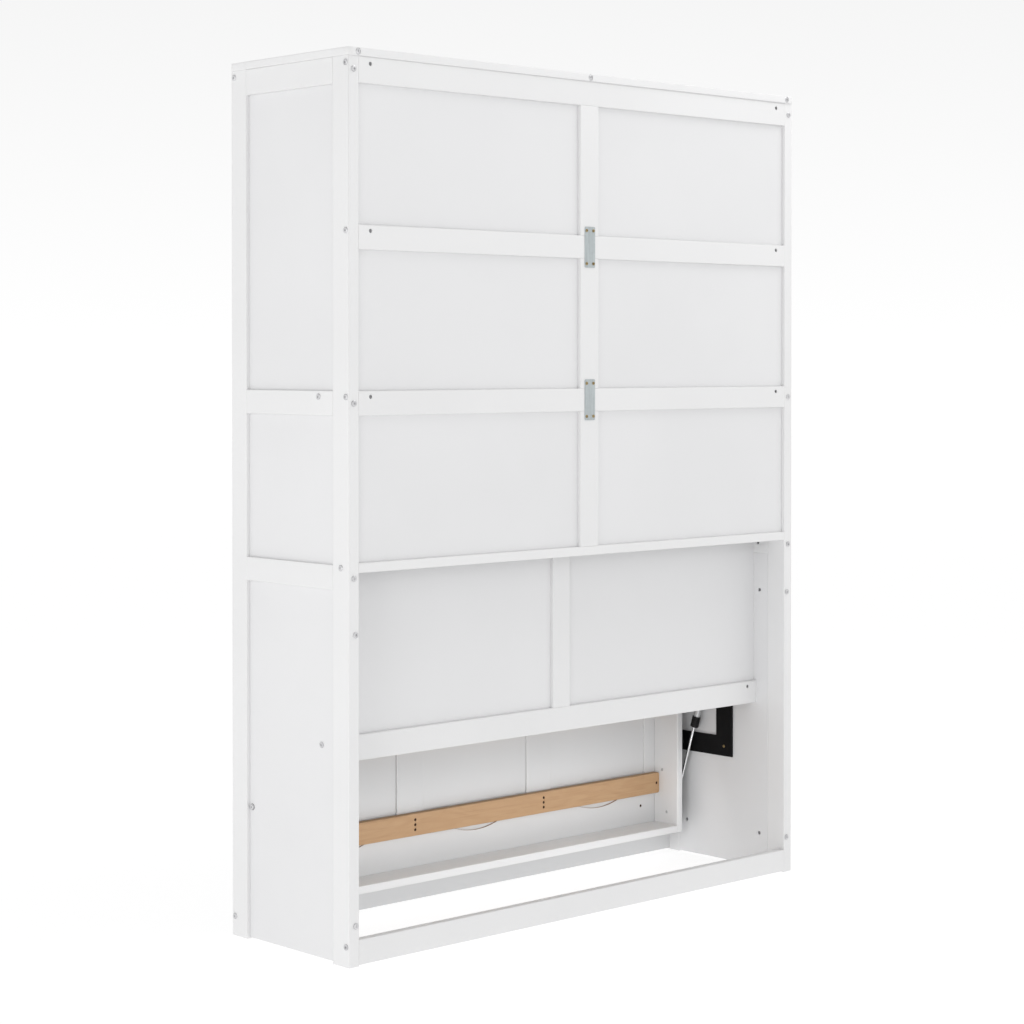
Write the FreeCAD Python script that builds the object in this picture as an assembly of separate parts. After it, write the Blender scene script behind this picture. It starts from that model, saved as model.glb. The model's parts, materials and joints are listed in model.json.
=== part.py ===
import FreeCAD, Part
import math
import os

# A wall bed with its bed folded up into the cabinet, as it stands against a wall.
# Millimetres. X runs across the cabinet, +Y points at the wall, +Z points up.
# The origin is on the floor, under the middle of the cabinet.
# A setback is a distance forward of the rear face of the posts.

# Cabinet
cabinet_width = 1576.0
cabinet_depth = 455.0
cabinet_height = 2144.0
side_thickness = 30.0
post_width = 60.0
floor_reveal = 3.0

# Top frame
top_thickness = 19.0
top_overhang = 4.0
top_strip_width = 60.0
top_corner_radius = 14.0
top_panel_thickness = 10.0

# Rails and panels of the cabinet
top_rail_height = 62.0
rail_height = 58.0
rail_thickness = 22.0
low_panel_height = 344.0
batten_thickness = 23.0
centre_stile_width = 65.0
back_panel_thickness = 13.0
side_panel_thickness = 21.0
side_lower_panel_height = 876.0
side_middle_panel_height = 350.0

# Headboard
headboard_setback = 102.0
headboard_bottom = 460.0
headboard_rail_height = 62.0
headboard_stile_width = 60.0

# Rails at the floor
foot_rail_height = 59.0
plinth_height = 58.0

# Folding bed
side_gap = 46.0
bed_floor_gap = 9.0
bed_top_gap = 6.0
bed_rail_thickness = 20.0
bed_rail_depth = 91.0
face_thickness = 24.0
face_edge_gap = 3.0
face_outer_stile_width = 105.0
face_stile_width = 92.0
face_top_rail_height = 62.0
face_board_height = 135.0
face_panel_setback = 4.0
face_panel_thickness = 8.0
scoop_radius = 235.0
scoop_depth = 47.0
slat_width = 58.0
slat_thickness = 20.0
slat_count = 8
slat_head_margin = 134.0
slat_foot_margin = 223.0
slat_end_gap = 0.5

# Pivot of the bed
pivot_edge = 10.0
pivot_rise = 254.0
pivot_radius = 6.0
pivot_flange_radius = 16.0
pivot_flange_thickness = 4.0
pivot_cap_radius = 7.5
pivot_cap_thickness = 4.0
pivot_cap_gap = 0.3
bush_wall = 2.0
bush_flange_radius = 14.0
bush_flange_thickness = 3.0

# Steel bracket on the cabinet's side and pivot plate on the bed's side rail
bracket_thickness = 5.0
bracket_arm_height = 56.0
bracket_leg_width = 60.0
bracket_headboard_gap = 64.0
bracket_leg_rise = 345.0
plate_thickness = 5.0
plate_edge = 8.0
plate_margin = 36.0
plate_drop = 220.0

# Gas strut
upper_stud_inset = 28.0
upper_stud_forward = 10.0
lower_stud_back = 3.0
lower_stud_drop = 160.0
stud_radius = 4.0
stud_collar_radius = 7.0
stud_cap_thickness = 2.5
stud_gap = 0.3
eye_radius = 9.0
eye_width = 10.0
eye_neck_radius = 6.0
upper_eye_length = 24.0
lower_eye_length = 18.0
cylinder_radius = 10.0
cylinder_wall = 2.0
cylinder_length = 228.0
collar_radius = 12.0
collar_length = 32.0
rod_radius = 4.0
piston_length = 14.0
piston_rest_gap = 8.0

# Fold-out legs
leg_inset = 50.0
leg_width = 30.0
leg_clearance = 0.5
leg_pin_radius = 2.5
leg_pin_drop = 14.0
leg_floor_gap = 1.0
leg_pad_height = 12.0
leg_pad_margin = 2.0
hinge_wall = 3.0
hinge_lip = 8.0

# Connector bolts and barrel nuts
bolt_radius = 3.0
bolt_clearance = 0.5
bolt_head_radius = 7.5
bolt_head_height = 2.5
bolt_socket_radius = 2.8
bolt_socket_depth = 1.8
bolt_tail = 9.0
nut_radius = 4.95
nut_behind = 6.0
nut_recess = 0.6
nut_setback = 36.0
panel_nut_setback = 30.0
cross_bolt_offset = 15.0
floor_bolt_drop = 13.0
headboard_bolt_drop = 14.0
panel_bolt_foot = 93.0
panel_bolt_head = 103.0

# Joining plates and screws
joining_width = 36.0
joining_height = 104.0
joining_thickness = 1.6
joining_screw_across = 24.0
joining_screw_up = 84.0
screw_radius = 2.0
screw_head_radius = 4.0
screw_head_height = 2.0
screw_bite = 14.0
slat_screw_spacing = 13.0
slat_screw_inset = 12.0
corner_screw_inset = 20.0
board_screw_inset = 57.0
board_screw_drop = 64.0
bracket_screw_spacing = 125.0
bracket_screw_count = 3
plate_bolt_front = 15.0
plate_bolt_drop = 82.0
plate_bolt_foot = 19.0

# Fit of a pin, a bush, a nut or a screw in its hole
fit_clearance = 0.05

Vector = FreeCAD.Vector
SIDES = {"right": 1, "left": -1}
UP = Vector(0, 0, 1)
DOWN = Vector(0, 0, -1)
REARWARD = Vector(0, 1, 0)
FORWARD = Vector(0, -1, 0)

# Cabinet planes
half_width = cabinet_width / 2
inner_half = half_width - side_thickness
rear_face = cabinet_depth / 2
front_face = -rear_face
top_under = cabinet_height - top_thickness
side_centre = half_width - side_thickness / 2
panel_outer = inner_half + side_panel_thickness
panel_centre = inner_half + side_panel_thickness / 2

# Cabinet levels, with the upper rail of the back midway between the waist rail and the top rail
plinth_top = floor_reveal + plinth_height
floor_bolt_height = plinth_top - floor_bolt_drop
side_lower_bottom = floor_reveal + side_lower_panel_height
side_lower_top = side_lower_bottom + rail_height
waist_rail_bottom = side_lower_top + side_middle_panel_height
waist_rail_top = waist_rail_bottom + rail_height
batten_top = waist_rail_bottom - low_panel_height
batten_bottom = batten_top - batten_thickness
top_rail_bottom = top_under - top_rail_height
upper_rail_bottom = (waist_rail_top + top_rail_bottom - rail_height) / 2
upper_rail_top = upper_rail_bottom + rail_height
headboard_front = rear_face - headboard_setback - rail_thickness

# Bed planes and levels
bed_half = inner_half - side_gap
bed_inner_half = bed_half - bed_rail_thickness
bed_bottom = plinth_top + bed_floor_gap
bed_top = top_rail_bottom - bed_top_gap
face_half = inner_half - face_edge_gap
face_rear = front_face + face_thickness
bed_rear = face_rear + bed_rail_depth
board_top = bed_bottom + face_board_height
face_rail_bottom = bed_top - face_top_rail_height
outer_stile_inner = face_half - face_outer_stile_width
bay_pitch = (2 * outer_stile_inner + face_stile_width) / 3
bay_half = (bay_pitch - face_stile_width) / 2
panel_rear = face_rear - face_panel_setback
panel_front = panel_rear - face_panel_thickness
slat_rear = face_rear + slat_thickness

# Pivot, bracket and strut places
pivot_y = front_face + post_width + pivot_edge
pivot_height = bed_bottom + pivot_rise
bracket_face = inner_half - bracket_thickness
bracket_rear = headboard_front - bracket_headboard_gap
plate_face = bed_half + plate_thickness
strut_x = (bracket_face + plate_face) / 2
bracket_leg_centre = bracket_rear - bracket_leg_width / 2
upper_stud_y = bracket_leg_centre - upper_stud_forward
upper_stud_height = pivot_height + bracket_leg_rise - upper_stud_inset
lower_stud_y = pivot_y + lower_stud_back
lower_stud_height = pivot_height - lower_stud_drop

# Leg places
leg_x = outer_stile_inner - leg_inset
leg_pin_y = (front_face + panel_front) / 2
leg_thickness = panel_front - front_face - 2 * leg_clearance
leg_pin_height = face_rail_bottom - leg_pin_drop
leg_reach = pivot_height + leg_pin_y - pivot_y - leg_floor_gap

pieces = {}


def block(x_span, y_span, z_span):
    """A board between two limits on each axis, given in either order."""
    low = Vector(min(x_span), min(y_span), min(z_span))
    high = Vector(max(x_span), max(y_span), max(z_span))
    size = high - low
    return Part.makeBox(size.x, size.y, size.z, low)


def bar(start, direction, radius, length):
    """A round bar that starts at a point and runs along a direction."""
    return Part.makeCylinder(radius, length, start, direction)


def behind(setback):
    """The Y of a plane that lies this far forward of the rear face."""
    return rear_face - setback


def add(node, *solids):
    """Put solids into a node."""
    pieces.setdefault(node, []).extend(solids)


def drill(node, cutter):
    """Cut a hole out of each solid of a node that the cutter reaches."""
    kept = []
    for solid in pieces[node]:
        if solid.BoundBox.intersect(cutter.BoundBox):
            kept.extend(solid.cut(cutter).Solids)
        else:
            kept.append(solid)
    pieces[node] = kept


def hex_prism(start, direction, radius, length):
    """A six-sided prism whose corners lie on a circle of the given radius."""
    across = direction.cross(UP)
    corners = []
    for step in range(7):
        turn = math.radians(60 * step)
        corners.append(start + UP * (radius * math.cos(turn)) + across * (radius * math.sin(turn)))
    return Part.Face(Part.makePolygon(corners)).extrude(direction * length)


def connect(seat, inward, grip, through, into, nut_way, nut_cover, sunk=0.0, setback=nut_setback):
    """A connector bolt through one piece, with its barrel nut in the next.

    The head seats at a point of the outer face, or is sunk below it. The nut goes in by the face
    that lies nut_cover from the bolt's axis on the side that nut_way points to.
    """
    base = seat + inward * sunk
    reach = grip - sunk + setback
    length = reach + bolt_tail
    head = bar(base, inward * -1, bolt_head_radius, bolt_head_height)
    socket = hex_prism(base - inward * bolt_head_height, inward, bolt_socket_radius, bolt_socket_depth)
    add("connector_bolts", head.fuse(bar(base, inward, bolt_radius, length)).cut(socket))
    hole = bar(base, inward, bolt_radius + bolt_clearance, length + bolt_clearance)
    drill(through, hole)
    drill(into, hole)
    if sunk > 0:
        drill(through, bar(seat, inward, bolt_head_radius + bolt_clearance, sunk))
    depth = nut_cover + nut_behind
    mouth = base + inward * reach + nut_way * nut_cover
    drill(into, bar(mouth, nut_way * -1, nut_radius + fit_clearance, depth))
    nut = bar(mouth - nut_way * nut_recess, nut_way * -1, nut_radius, depth - nut_recess)
    add("barrel_nuts", nut.cut(bar(base, inward, bolt_radius + fit_clearance, length + bolt_clearance)))


def screw(node, seat, inward, length, drilled, sunk=0.0):
    """A screw whose head seats on a face or is sunk in it, with its hole in each piece it passes."""
    base = seat + inward * sunk
    head = bar(base, inward * -1, screw_head_radius, screw_head_height)
    add(node, head.fuse(bar(base, inward, screw_radius, length)))
    hole = bar(base, inward, screw_radius + fit_clearance, length)
    if sunk > 0:
        hole = hole.fuse(bar(seat, inward, screw_head_radius + fit_clearance, sunk))
    for target in drilled:
        drill(target, hole)


def round_plan_corners(solid, x_reach, y_plane):
    """Round the upright edges of a top strip at the corners of the top."""
    corners = []
    for edge in solid.Edges:
        middle = edge.CenterOfMass
        at_corner = abs(abs(middle.x) - x_reach) < fit_clearance and abs(middle.y - y_plane) < fit_clearance
        if at_corner:
            corners.append(edge)
    return solid.makeFillet(top_corner_radius, corners)


def top_frame():
    """Front and rear strips, three strips between them, and two panels flush below."""
    x_reach = half_width + top_overhang
    y_reach = rear_face + top_overhang
    y_inner = y_reach - top_strip_width
    levels = (top_under, cabinet_height)
    for node, way in (("top_rear_rail", 1), ("top_front_rail", -1)):
        strip = block((-x_reach, x_reach), (way * y_inner, way * y_reach), levels)
        add(node, round_plan_corners(strip, x_reach, way * y_reach))
    cross_centre = x_reach - top_strip_width / 2
    for centre in (-cross_centre, 0, cross_centre):
        span = (centre - top_strip_width / 2, centre + top_strip_width / 2)
        add("top_cross_rails", block(span, (-y_inner, y_inner), levels))
    for sign in SIDES.values():
        span = (sign * top_strip_width / 2, sign * (x_reach - top_strip_width))
        add("top_panels", block(span, (-y_inner, y_inner), (top_under, top_under + top_panel_thickness)))
    for centre in (-cross_centre, 0, cross_centre):
        seat = Vector(centre, y_reach, (top_under + cabinet_height) / 2)
        connect(seat, FORWARD, top_strip_width, "top_rear_rail", "top_cross_rails",
                DOWN, top_thickness / 2, sunk=bolt_head_height)


def side_frame(name, sign):
    """Two uprights, three rails and three panels, flush on the inside."""
    thick = (sign * inner_half, sign * half_width)
    panel_thick = (sign * inner_half, sign * panel_outer)
    between = (-behind(post_width), behind(post_width))
    add("rear_post_" + name, block(thick, (rear_face, behind(post_width)), (0, top_under)))
    add("front_stile_" + name, block(thick, (front_face, -behind(post_width)), (0, top_under)))
    rails = {
        "side_top_rail_": (top_rail_bottom, top_under),
        "side_middle_rail_": (waist_rail_bottom, waist_rail_top),
        "side_lower_rail_": (side_lower_bottom, side_lower_top),
    }
    panels = {
        "side_upper_panel_": (waist_rail_top, top_rail_bottom),
        "side_middle_panel_": (side_lower_top, waist_rail_bottom),
        "side_lower_panel_": (floor_reveal, side_lower_bottom),
    }
    for node, levels in rails.items():
        add(node + name, block(thick, between, levels))
    for node, levels in panels.items():
        add(node + name, block(panel_thick, between, levels))


def bolt_side_frame(name, sign):
    """Bolts from the rear and front faces of the uprights into the rails and the lower panel."""
    inside = Vector(-sign, 0, 0)
    half_thick = side_thickness / 2
    half_panel = side_panel_thickness / 2
    top_centre = (top_rail_bottom + top_under) / 2
    waist_centre = (waist_rail_bottom + waist_rail_top) / 2
    lower_centre = (side_lower_bottom + side_lower_top) / 2
    for upright, face_y, inward in (("rear_post_", rear_face, FORWARD), ("front_stile_", front_face, REARWARD)):
        post = upright + name
        rails = (
            ("side_top_rail_", top_centre),
            ("side_middle_rail_", waist_centre),
            ("side_lower_rail_", lower_centre),
        )
        for rail, level in rails:
            seat = Vector(sign * side_centre, face_y, level)
            connect(seat, inward, post_width, post, rail + name, inside, half_thick)
        for level in (floor_reveal + panel_bolt_foot, side_lower_bottom - panel_bolt_head):
            seat = Vector(sign * panel_centre, face_y, level)
            connect(seat, inward, post_width, post, "side_lower_panel_" + name, inside, half_panel,
                    setback=panel_nut_setback)


def back():
    """Rails, batten, centre stiles and recessed panels between the rear posts."""
    across = (-inner_half, inner_half)
    thick = (rear_face, behind(rail_thickness))
    panel_thick = (behind(rail_thickness), behind(rail_thickness) + back_panel_thickness)
    stile = (-centre_stile_width / 2, centre_stile_width / 2)
    add("back_top_rail", block(across, thick, (top_rail_bottom, top_under)))
    add("back_middle_rails", block(across, thick, (upper_rail_bottom, upper_rail_top)))
    add("back_middle_rails", block(across, thick, (waist_rail_bottom, waist_rail_top)))
    add("back_batten", block(across, (rear_face, behind(post_width)), (batten_bottom, batten_top)))
    rows = (
        (upper_rail_top, top_rail_bottom),
        (waist_rail_top, upper_rail_bottom),
        (batten_top, waist_rail_bottom),
    )
    for levels in rows:
        add("back_centre_stiles", block(stile, thick, levels))
        for sign in SIDES.values():
            span = (sign * centre_stile_width / 2, sign * inner_half)
            add("back_panels", block(span, panel_thick, levels))


def floor_and_front_rails():
    """The rear foot rail, the front plinth and the rail over the bed's face."""
    across = (-inner_half, inner_half)
    rear_thick = (rear_face, behind(rail_thickness))
    front_thick = (front_face, -behind(rail_thickness))
    add("rear_foot_rail", block(across, rear_thick, (floor_reveal, floor_reveal + foot_rail_height)))
    add("front_plinth", block(across, front_thick, (floor_reveal, plinth_top)))
    add("front_top_rail", block(across, front_thick, (top_rail_bottom, top_under)))


def headboard():
    """A framed board with recessed panels, flush towards the bed, that reaches up to the waist."""
    across = (-inner_half, inner_half)
    thick = (behind(headboard_setback), headboard_front)
    bottom_rail = (headboard_bottom, headboard_bottom + headboard_rail_height)
    top_rail = (waist_rail_top - headboard_rail_height, waist_rail_top)
    field = (bottom_rail[1], top_rail[0])
    add("headboard_rails", block(across, thick, bottom_rail), block(across, thick, top_rail))
    stile = (-headboard_stile_width / 2, headboard_stile_width / 2)
    add("headboard_centre_stile", block(stile, thick, field))
    panel_thick = (headboard_front, headboard_front + back_panel_thickness)
    for sign in SIDES.values():
        span = (sign * headboard_stile_width / 2, sign * inner_half)
        add("headboard_panels", block(span, panel_thick, field))


def bolt_cross_rails(name, sign):
    """Bolts from the outer faces of the side frames into the ends of the rails between them."""
    inward = Vector(-sign, 0, 0)
    post = "rear_post_" + name
    stile = "front_stile_" + name
    half_rail = rail_thickness / 2
    rear_y = behind(half_rail)
    rear_rails = (
        ("back_top_rail", (top_rail_bottom + top_under) / 2 + cross_bolt_offset, REARWARD),
        ("back_middle_rails", (upper_rail_bottom + upper_rail_top) / 2 + cross_bolt_offset, REARWARD),
        ("back_middle_rails", (waist_rail_bottom + waist_rail_top) / 2 + cross_bolt_offset, REARWARD),
        ("rear_foot_rail", floor_bolt_height, FORWARD),
    )
    for rail, level, nut_way in rear_rails:
        seat = Vector(sign * half_width, rear_y, level)
        connect(seat, inward, side_thickness, post, rail, nut_way, half_rail)
    seat = Vector(sign * half_width, behind(post_width / 2), (batten_bottom + batten_top) / 2)
    connect(seat, inward, side_thickness, post, "back_batten", DOWN, batten_thickness / 2)
    front_rails = (
        ("front_top_rail", (top_rail_bottom + top_under) / 2 + cross_bolt_offset),
        ("front_plinth", floor_bolt_height),
    )
    for rail, level in front_rails:
        seat = Vector(sign * half_width, -rear_y, level)
        connect(seat, inward, side_thickness, stile, rail, REARWARD, half_rail)
    headboard_y = behind(headboard_setback + half_rail)
    headboard_ends = (
        ("side_lower_panel_", panel_outer, side_panel_thickness, headboard_bottom + headboard_rail_height),
        ("side_middle_rail_", half_width, side_thickness, waist_rail_top),
    )
    for through, outer_x, grip, rail_top in headboard_ends:
        seat = Vector(sign * outer_x, headboard_y, rail_top - headboard_bolt_drop)
        connect(seat, inward, grip, through + name, "headboard_rails", REARWARD, half_rail)


def joining_plates():
    """Two flat plates that tie the centre stiles to the middle rails of the back."""
    thick = (rear_face, rear_face + joining_thickness)
    across = (-joining_width / 2, joining_width / 2)
    for rail_bottom in (upper_rail_bottom, waist_rail_bottom):
        centre = rail_bottom + rail_height / 2
        add("joining_plates", block(across, thick, (centre - joining_height / 2, centre + joining_height / 2)))
        for x in (-joining_screw_across / 2, joining_screw_across / 2):
            for rise in (-joining_screw_up / 2, joining_screw_up / 2):
                seat = Vector(x, rear_face + joining_thickness, centre + rise)
                screw("cabinet_screws", seat, FORWARD, joining_thickness + screw_bite,
                      ("joining_plates", "back_centre_stiles"))


def face():
    """The framed face of the bed: three bays of panels over a scooped bottom board."""
    thick = (front_face, face_rear)
    panel_thick = (panel_front, panel_rear)
    bays = (-bay_pitch, 0, bay_pitch)
    for sign in SIDES.values():
        add("face_stiles", block((sign * outer_stile_inner, sign * face_half), thick, (board_top, bed_top)))
        inner = (sign * bay_half, sign * (bay_half + face_stile_width))
        add("face_stiles", block(inner, thick, (board_top, face_rail_bottom)))
    across = (-outer_stile_inner, outer_stile_inner)
    add("face_rails", block(across, thick, (face_rail_bottom, bed_top)))
    board = block((-face_half, face_half), thick, (bed_bottom, board_top))
    rows = (
        (board_top, side_lower_bottom),
        (side_lower_top, waist_rail_bottom),
        (waist_rail_top, face_rail_bottom),
    )
    for centre in bays:
        span = (centre - bay_half, centre + bay_half)
        add("face_rails", block(span, thick, (side_lower_bottom, side_lower_top)))
        add("face_rails", block(span, thick, (waist_rail_bottom, waist_rail_top)))
        scoop_centre = Vector(centre, front_face, board_top - scoop_depth + scoop_radius)
        below = block(span, thick, (board_top - scoop_depth, board_top))
        scoop = below.common(bar(scoop_centre, REARWARD, scoop_radius, face_thickness))
        board = board.cut(scoop)
        for levels in rows:
            panel = block(span, panel_thick, levels)
            if levels[0] == board_top:
                tongue = scoop.common(block(span, panel_thick, (board_top - scoop_depth, board_top)))
                panel = panel.fuse(tongue).removeSplitter()
            add("face_panels", panel)
    add("face_bottom_board", board)


def tray():
    """The rails behind the face and the slats across it."""
    deep = (face_rear, bed_rear)
    for name, sign in SIDES.items():
        add("bed_side_rail_" + name, block((sign * bed_inner_half, sign * bed_half), deep, (bed_bottom, bed_top)))
    across = (-bed_inner_half, bed_inner_half)
    add("bed_head_rail", block(across, deep, (bed_bottom, bed_bottom + bed_rail_thickness)))
    add("bed_foot_rail", block(across, deep, (bed_top - bed_rail_thickness, bed_top)))
    slat_half = bed_inner_half - slat_end_gap
    for level in slat_levels():
        levels = (level - slat_width / 2, level + slat_width / 2)
        add("bed_slats", block((-slat_half, slat_half), (face_rear, slat_rear), levels))


def slat_levels():
    """Heights of the middles of the slats, evenly spaced along the bed."""
    first = bed_bottom + slat_head_margin
    last = bed_top - slat_foot_margin
    pitch = (last - first) / (slat_count - 1)
    return [first + pitch * index for index in range(slat_count)]


def screw_tray():
    """Screws of the slats, of the corners of the tray and of the bottom board."""
    under_slats = ("bed_slats", "face_stiles", "face_bottom_board")
    for level in slat_levels():
        places = [(sign * (bed_inner_half - slat_screw_inset), level) for sign in SIDES.values()]
        for sign in SIDES.values():
            for step in (-1, 0, 1):
                places.append((sign * bay_pitch / 2, level + step * slat_screw_spacing))
        for x, height in places:
            screw("bed_screws", Vector(x, slat_rear, height), FORWARD, slat_thickness - screw_head_height + screw_bite,
                  under_slats, screw_head_height)
    half_rail = bed_rail_thickness / 2
    ends = (("bed_head_rail", bed_bottom + half_rail), ("bed_foot_rail", bed_top - half_rail))
    for name, sign in SIDES.items():
        inward = Vector(-sign, 0, 0)
        for rail, level in ends:
            for y in (face_rear + corner_screw_inset, bed_rear - corner_screw_inset):
                screw("bed_screws", Vector(sign * bed_half, y, level), inward,
                      bed_rail_thickness - screw_head_height + screw_bite,
                      ("bed_side_rail_" + name, rail), screw_head_height)
        seat = Vector(sign * (bed_inner_half - board_screw_inset), face_rear, board_top - board_screw_drop)
        screw("bed_screws", seat, FORWARD, screw_bite, ("face_bottom_board",), screw_head_height)


def bracket(name, sign):
    """A flat steel bracket on the cabinet's side: a tall rear leg and an arm that ends round the pivot."""
    thick = (sign * bracket_face, sign * inner_half)
    half_arm = bracket_arm_height / 2
    arm_bottom = pivot_height - half_arm
    arm = block(thick, (bracket_rear, pivot_y), (arm_bottom, pivot_height + half_arm))
    nose = bar(Vector(sign * bracket_face, pivot_y, pivot_height), Vector(sign, 0, 0), half_arm, bracket_thickness)
    leg = block(thick, (bracket_rear, bracket_rear - bracket_leg_width), (arm_bottom, pivot_height + bracket_leg_rise))
    node = "wall_bracket_" + name
    add(node, arm.multiFuse([nose, leg]).removeSplitter())
    for index in range(bracket_screw_count):
        seat = Vector(sign * bracket_face, bracket_leg_centre, pivot_height + index * bracket_screw_spacing)
        screw("cabinet_screws", seat, Vector(sign, 0, 0), bracket_thickness + screw_bite,
              (node, "side_lower_panel_" + name))


def pivot(name, sign):
    """The pivot plate on the bed's rail, its pin, and the bush that the pin turns in."""
    outward = Vector(sign, 0, 0)
    plate = block((sign * bed_half, sign * plate_face), (bed_rear - plate_edge, pivot_y - plate_margin),
                  (pivot_height - plate_drop, pivot_height + plate_margin))
    add("bed_pivot_plates", plate)
    start = Vector(sign * plate_face, pivot_y, pivot_height)
    pin_length = panel_outer + pivot_cap_gap - plate_face
    flange = bar(start, outward, pivot_flange_radius, pivot_flange_thickness)
    add("pivot_pins", flange.fuse(bar(start, outward, pivot_radius, pin_length)))
    cap_start = start + outward * pin_length
    cap = bar(cap_start, outward, pivot_cap_radius, pivot_cap_thickness)
    cap_face = cap_start + outward * pivot_cap_thickness
    add("pivot_pins", cap.cut(hex_prism(cap_face, outward * -1, bolt_socket_radius, bolt_socket_depth)))
    bush_start = Vector(sign * (bracket_face - bush_flange_thickness), pivot_y, pivot_height)
    bush_length = panel_outer - bracket_face + bush_flange_thickness
    bush_bore = pivot_radius + fit_clearance
    bush_outer = bush_bore + bush_wall
    sleeve = bar(bush_start, outward, bush_outer, bush_length)
    bush = sleeve.fuse(bar(bush_start, outward, bush_flange_radius, bush_flange_thickness))
    add("pivot_bushes", bush.cut(bar(bush_start, outward, bush_bore, bush_length)))
    hole = bar(bush_start, outward, bush_outer + fit_clearance, bush_length)
    drill("wall_bracket_" + name, hole)
    drill("side_lower_panel_" + name, hole)


def screw_pivot_plate(name, sign):
    """Two screws from inside the tray through the rail into the pivot plate."""
    rail = "bed_side_rail_" + name
    places = (
        (pivot_y - plate_bolt_front, pivot_height - plate_bolt_drop),
        (lower_stud_y, pivot_height - plate_drop + plate_bolt_foot),
    )
    for y, level in places:
        screw("bed_screws", Vector(sign * bed_inner_half, y, level), Vector(sign, 0, 0),
              bed_rail_thickness + plate_thickness, (rail, "bed_pivot_plates"))


def eye(centre, sign, along, reach):
    """The eye at one end of a strut, with its neck running along the strut."""
    edge = centre - Vector(sign * eye_width / 2, 0, 0)
    across = Vector(sign, 0, 0)
    ring = bar(edge, across, eye_radius, eye_width)
    neck = bar(centre, along, min(eye_neck_radius, eye_width / 2), reach)
    return ring.fuse(neck).cut(bar(edge, across, stud_radius + fit_clearance, eye_width))


def stud(start_x, collar_end, pin_end, sign, y, level):
    """A headed stud across the strut: a collar, the pin through the eye and a cap."""
    way = Vector(1 if pin_end > start_x else -1, 0, 0) * sign
    start = Vector(sign * start_x, y, level)
    collar = bar(start, way, stud_collar_radius, abs(collar_end - start_x))
    pin_length = abs(pin_end - start_x)
    pin = bar(start, way, stud_radius, pin_length)
    cap = bar(start + way * pin_length, way, stud_collar_radius, stud_cap_thickness)
    return collar.multiFuse([pin, cap])


def strut(name, sign):
    """A gas strut from the bracket's rear leg to the pivot plate, with its rod run out."""
    upper = Vector(sign * strut_x, upper_stud_y, upper_stud_height)
    lower = Vector(sign * strut_x, lower_stud_y, lower_stud_height)
    along = lower - upper
    closed_length = along.Length
    along.normalize()
    half_eye = eye_width / 2
    add("strut_studs", stud(bracket_face, strut_x + half_eye + stud_gap, strut_x - half_eye - stud_gap,
                            sign, upper_stud_y, upper_stud_height))
    tube_start = upper + along * upper_eye_length
    tube = bar(tube_start, along, cylinder_radius, cylinder_length)
    bore_radius = cylinder_radius - cylinder_wall
    bore_start = tube_start + along * cylinder_wall
    tube = tube.cut(bar(bore_start, along, bore_radius, cylinder_length - cylinder_wall))
    collar_start = tube_start + along * cylinder_length
    collar = bar(collar_start, along, collar_radius, collar_length)
    collar = collar.cut(bar(collar_start, along, rod_radius + fit_clearance, collar_length))
    add("strut_cylinder_" + name, tube, collar, eye(upper, sign, along, upper_eye_length))
    piston_start = collar_start - along * (piston_rest_gap + piston_length)
    piston = bar(piston_start, along, bore_radius - fit_clearance, piston_length)
    rod_end = closed_length - lower_eye_length
    rod = bar(piston_start, along, rod_radius, rod_end - (piston_start - upper).Length)
    lower_stud = stud(plate_face + stud_gap, strut_x - half_eye, strut_x + half_eye,
                      sign, lower_stud_y, lower_stud_height)
    add("strut_rod_" + name, piston.fuse(rod), eye(lower, sign, along * -1, lower_eye_length), lower_stud)


def leg(name, sign):
    """A flat leg that folds into the recess of the face, with its hinge and its pad."""
    centre = sign * leg_x
    half_leg = leg_width / 2
    half_thick = leg_thickness / 2
    deep = (leg_pin_y - half_thick, leg_pin_y + half_thick)
    foot = leg_pin_height - leg_reach
    pin_start = Vector(centre - half_leg, leg_pin_y, leg_pin_height)
    across = Vector(1, 0, 0)
    shank = block((centre - half_leg, centre + half_leg), deep, (foot + leg_pad_height, leg_pin_height))
    shank = shank.fuse(bar(pin_start, across, half_thick, leg_width)).removeSplitter()
    add("leg_" + name, shank.cut(bar(pin_start, across, leg_pin_radius + fit_clearance, leg_width)))
    pad_half = half_leg + leg_pad_margin
    add("leg_pad_" + name, block((centre - pad_half, centre + pad_half), deep, (foot, foot + leg_pad_height)))
    inner = half_leg + leg_clearance
    outer = inner + hinge_wall
    hinge = block((centre - outer, centre + outer), deep, (leg_pin_height - hinge_lip, face_rail_bottom))
    slot = block((centre - inner, centre + inner), deep, (leg_pin_height - hinge_lip, face_rail_bottom - hinge_wall))
    ear_start = Vector(centre - outer, leg_pin_y, leg_pin_height)
    pin_hole = bar(ear_start, across, leg_pin_radius + fit_clearance, 2 * outer)
    add("leg_hinges", hinge.cut(slot).cut(pin_hole), bar(ear_start, across, leg_pin_radius, 2 * outer))


def build():
    """Make every piece, then join the pieces with their bolts and screws."""
    for name, sign in SIDES.items():
        side_frame(name, sign)
    back()
    floor_and_front_rails()
    headboard()
    top_frame()
    face()
    tray()
    for name, sign in SIDES.items():
        bolt_side_frame(name, sign)
        bolt_cross_rails(name, sign)
        bracket(name, sign)
        pivot(name, sign)
        screw_pivot_plate(name, sign)
        strut(name, sign)
        leg(name, sign)
    joining_plates()
    screw_tray()


def save():
    """Write each node to its own file."""
    os.makedirs("parts", exist_ok=True)
    for node, solids in pieces.items():
        shape = solids[0] if len(solids) == 1 else Part.makeCompound(solids)
        shape.exportStep("parts/" + node + ".step")


build()
save()
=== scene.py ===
"""Looks of a wall bed that stands folded up, seen from behind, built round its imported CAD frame.

Lengths are metres in the frame's own axes: X runs across, +Y points at the wall and +Z points up.
"""

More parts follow.
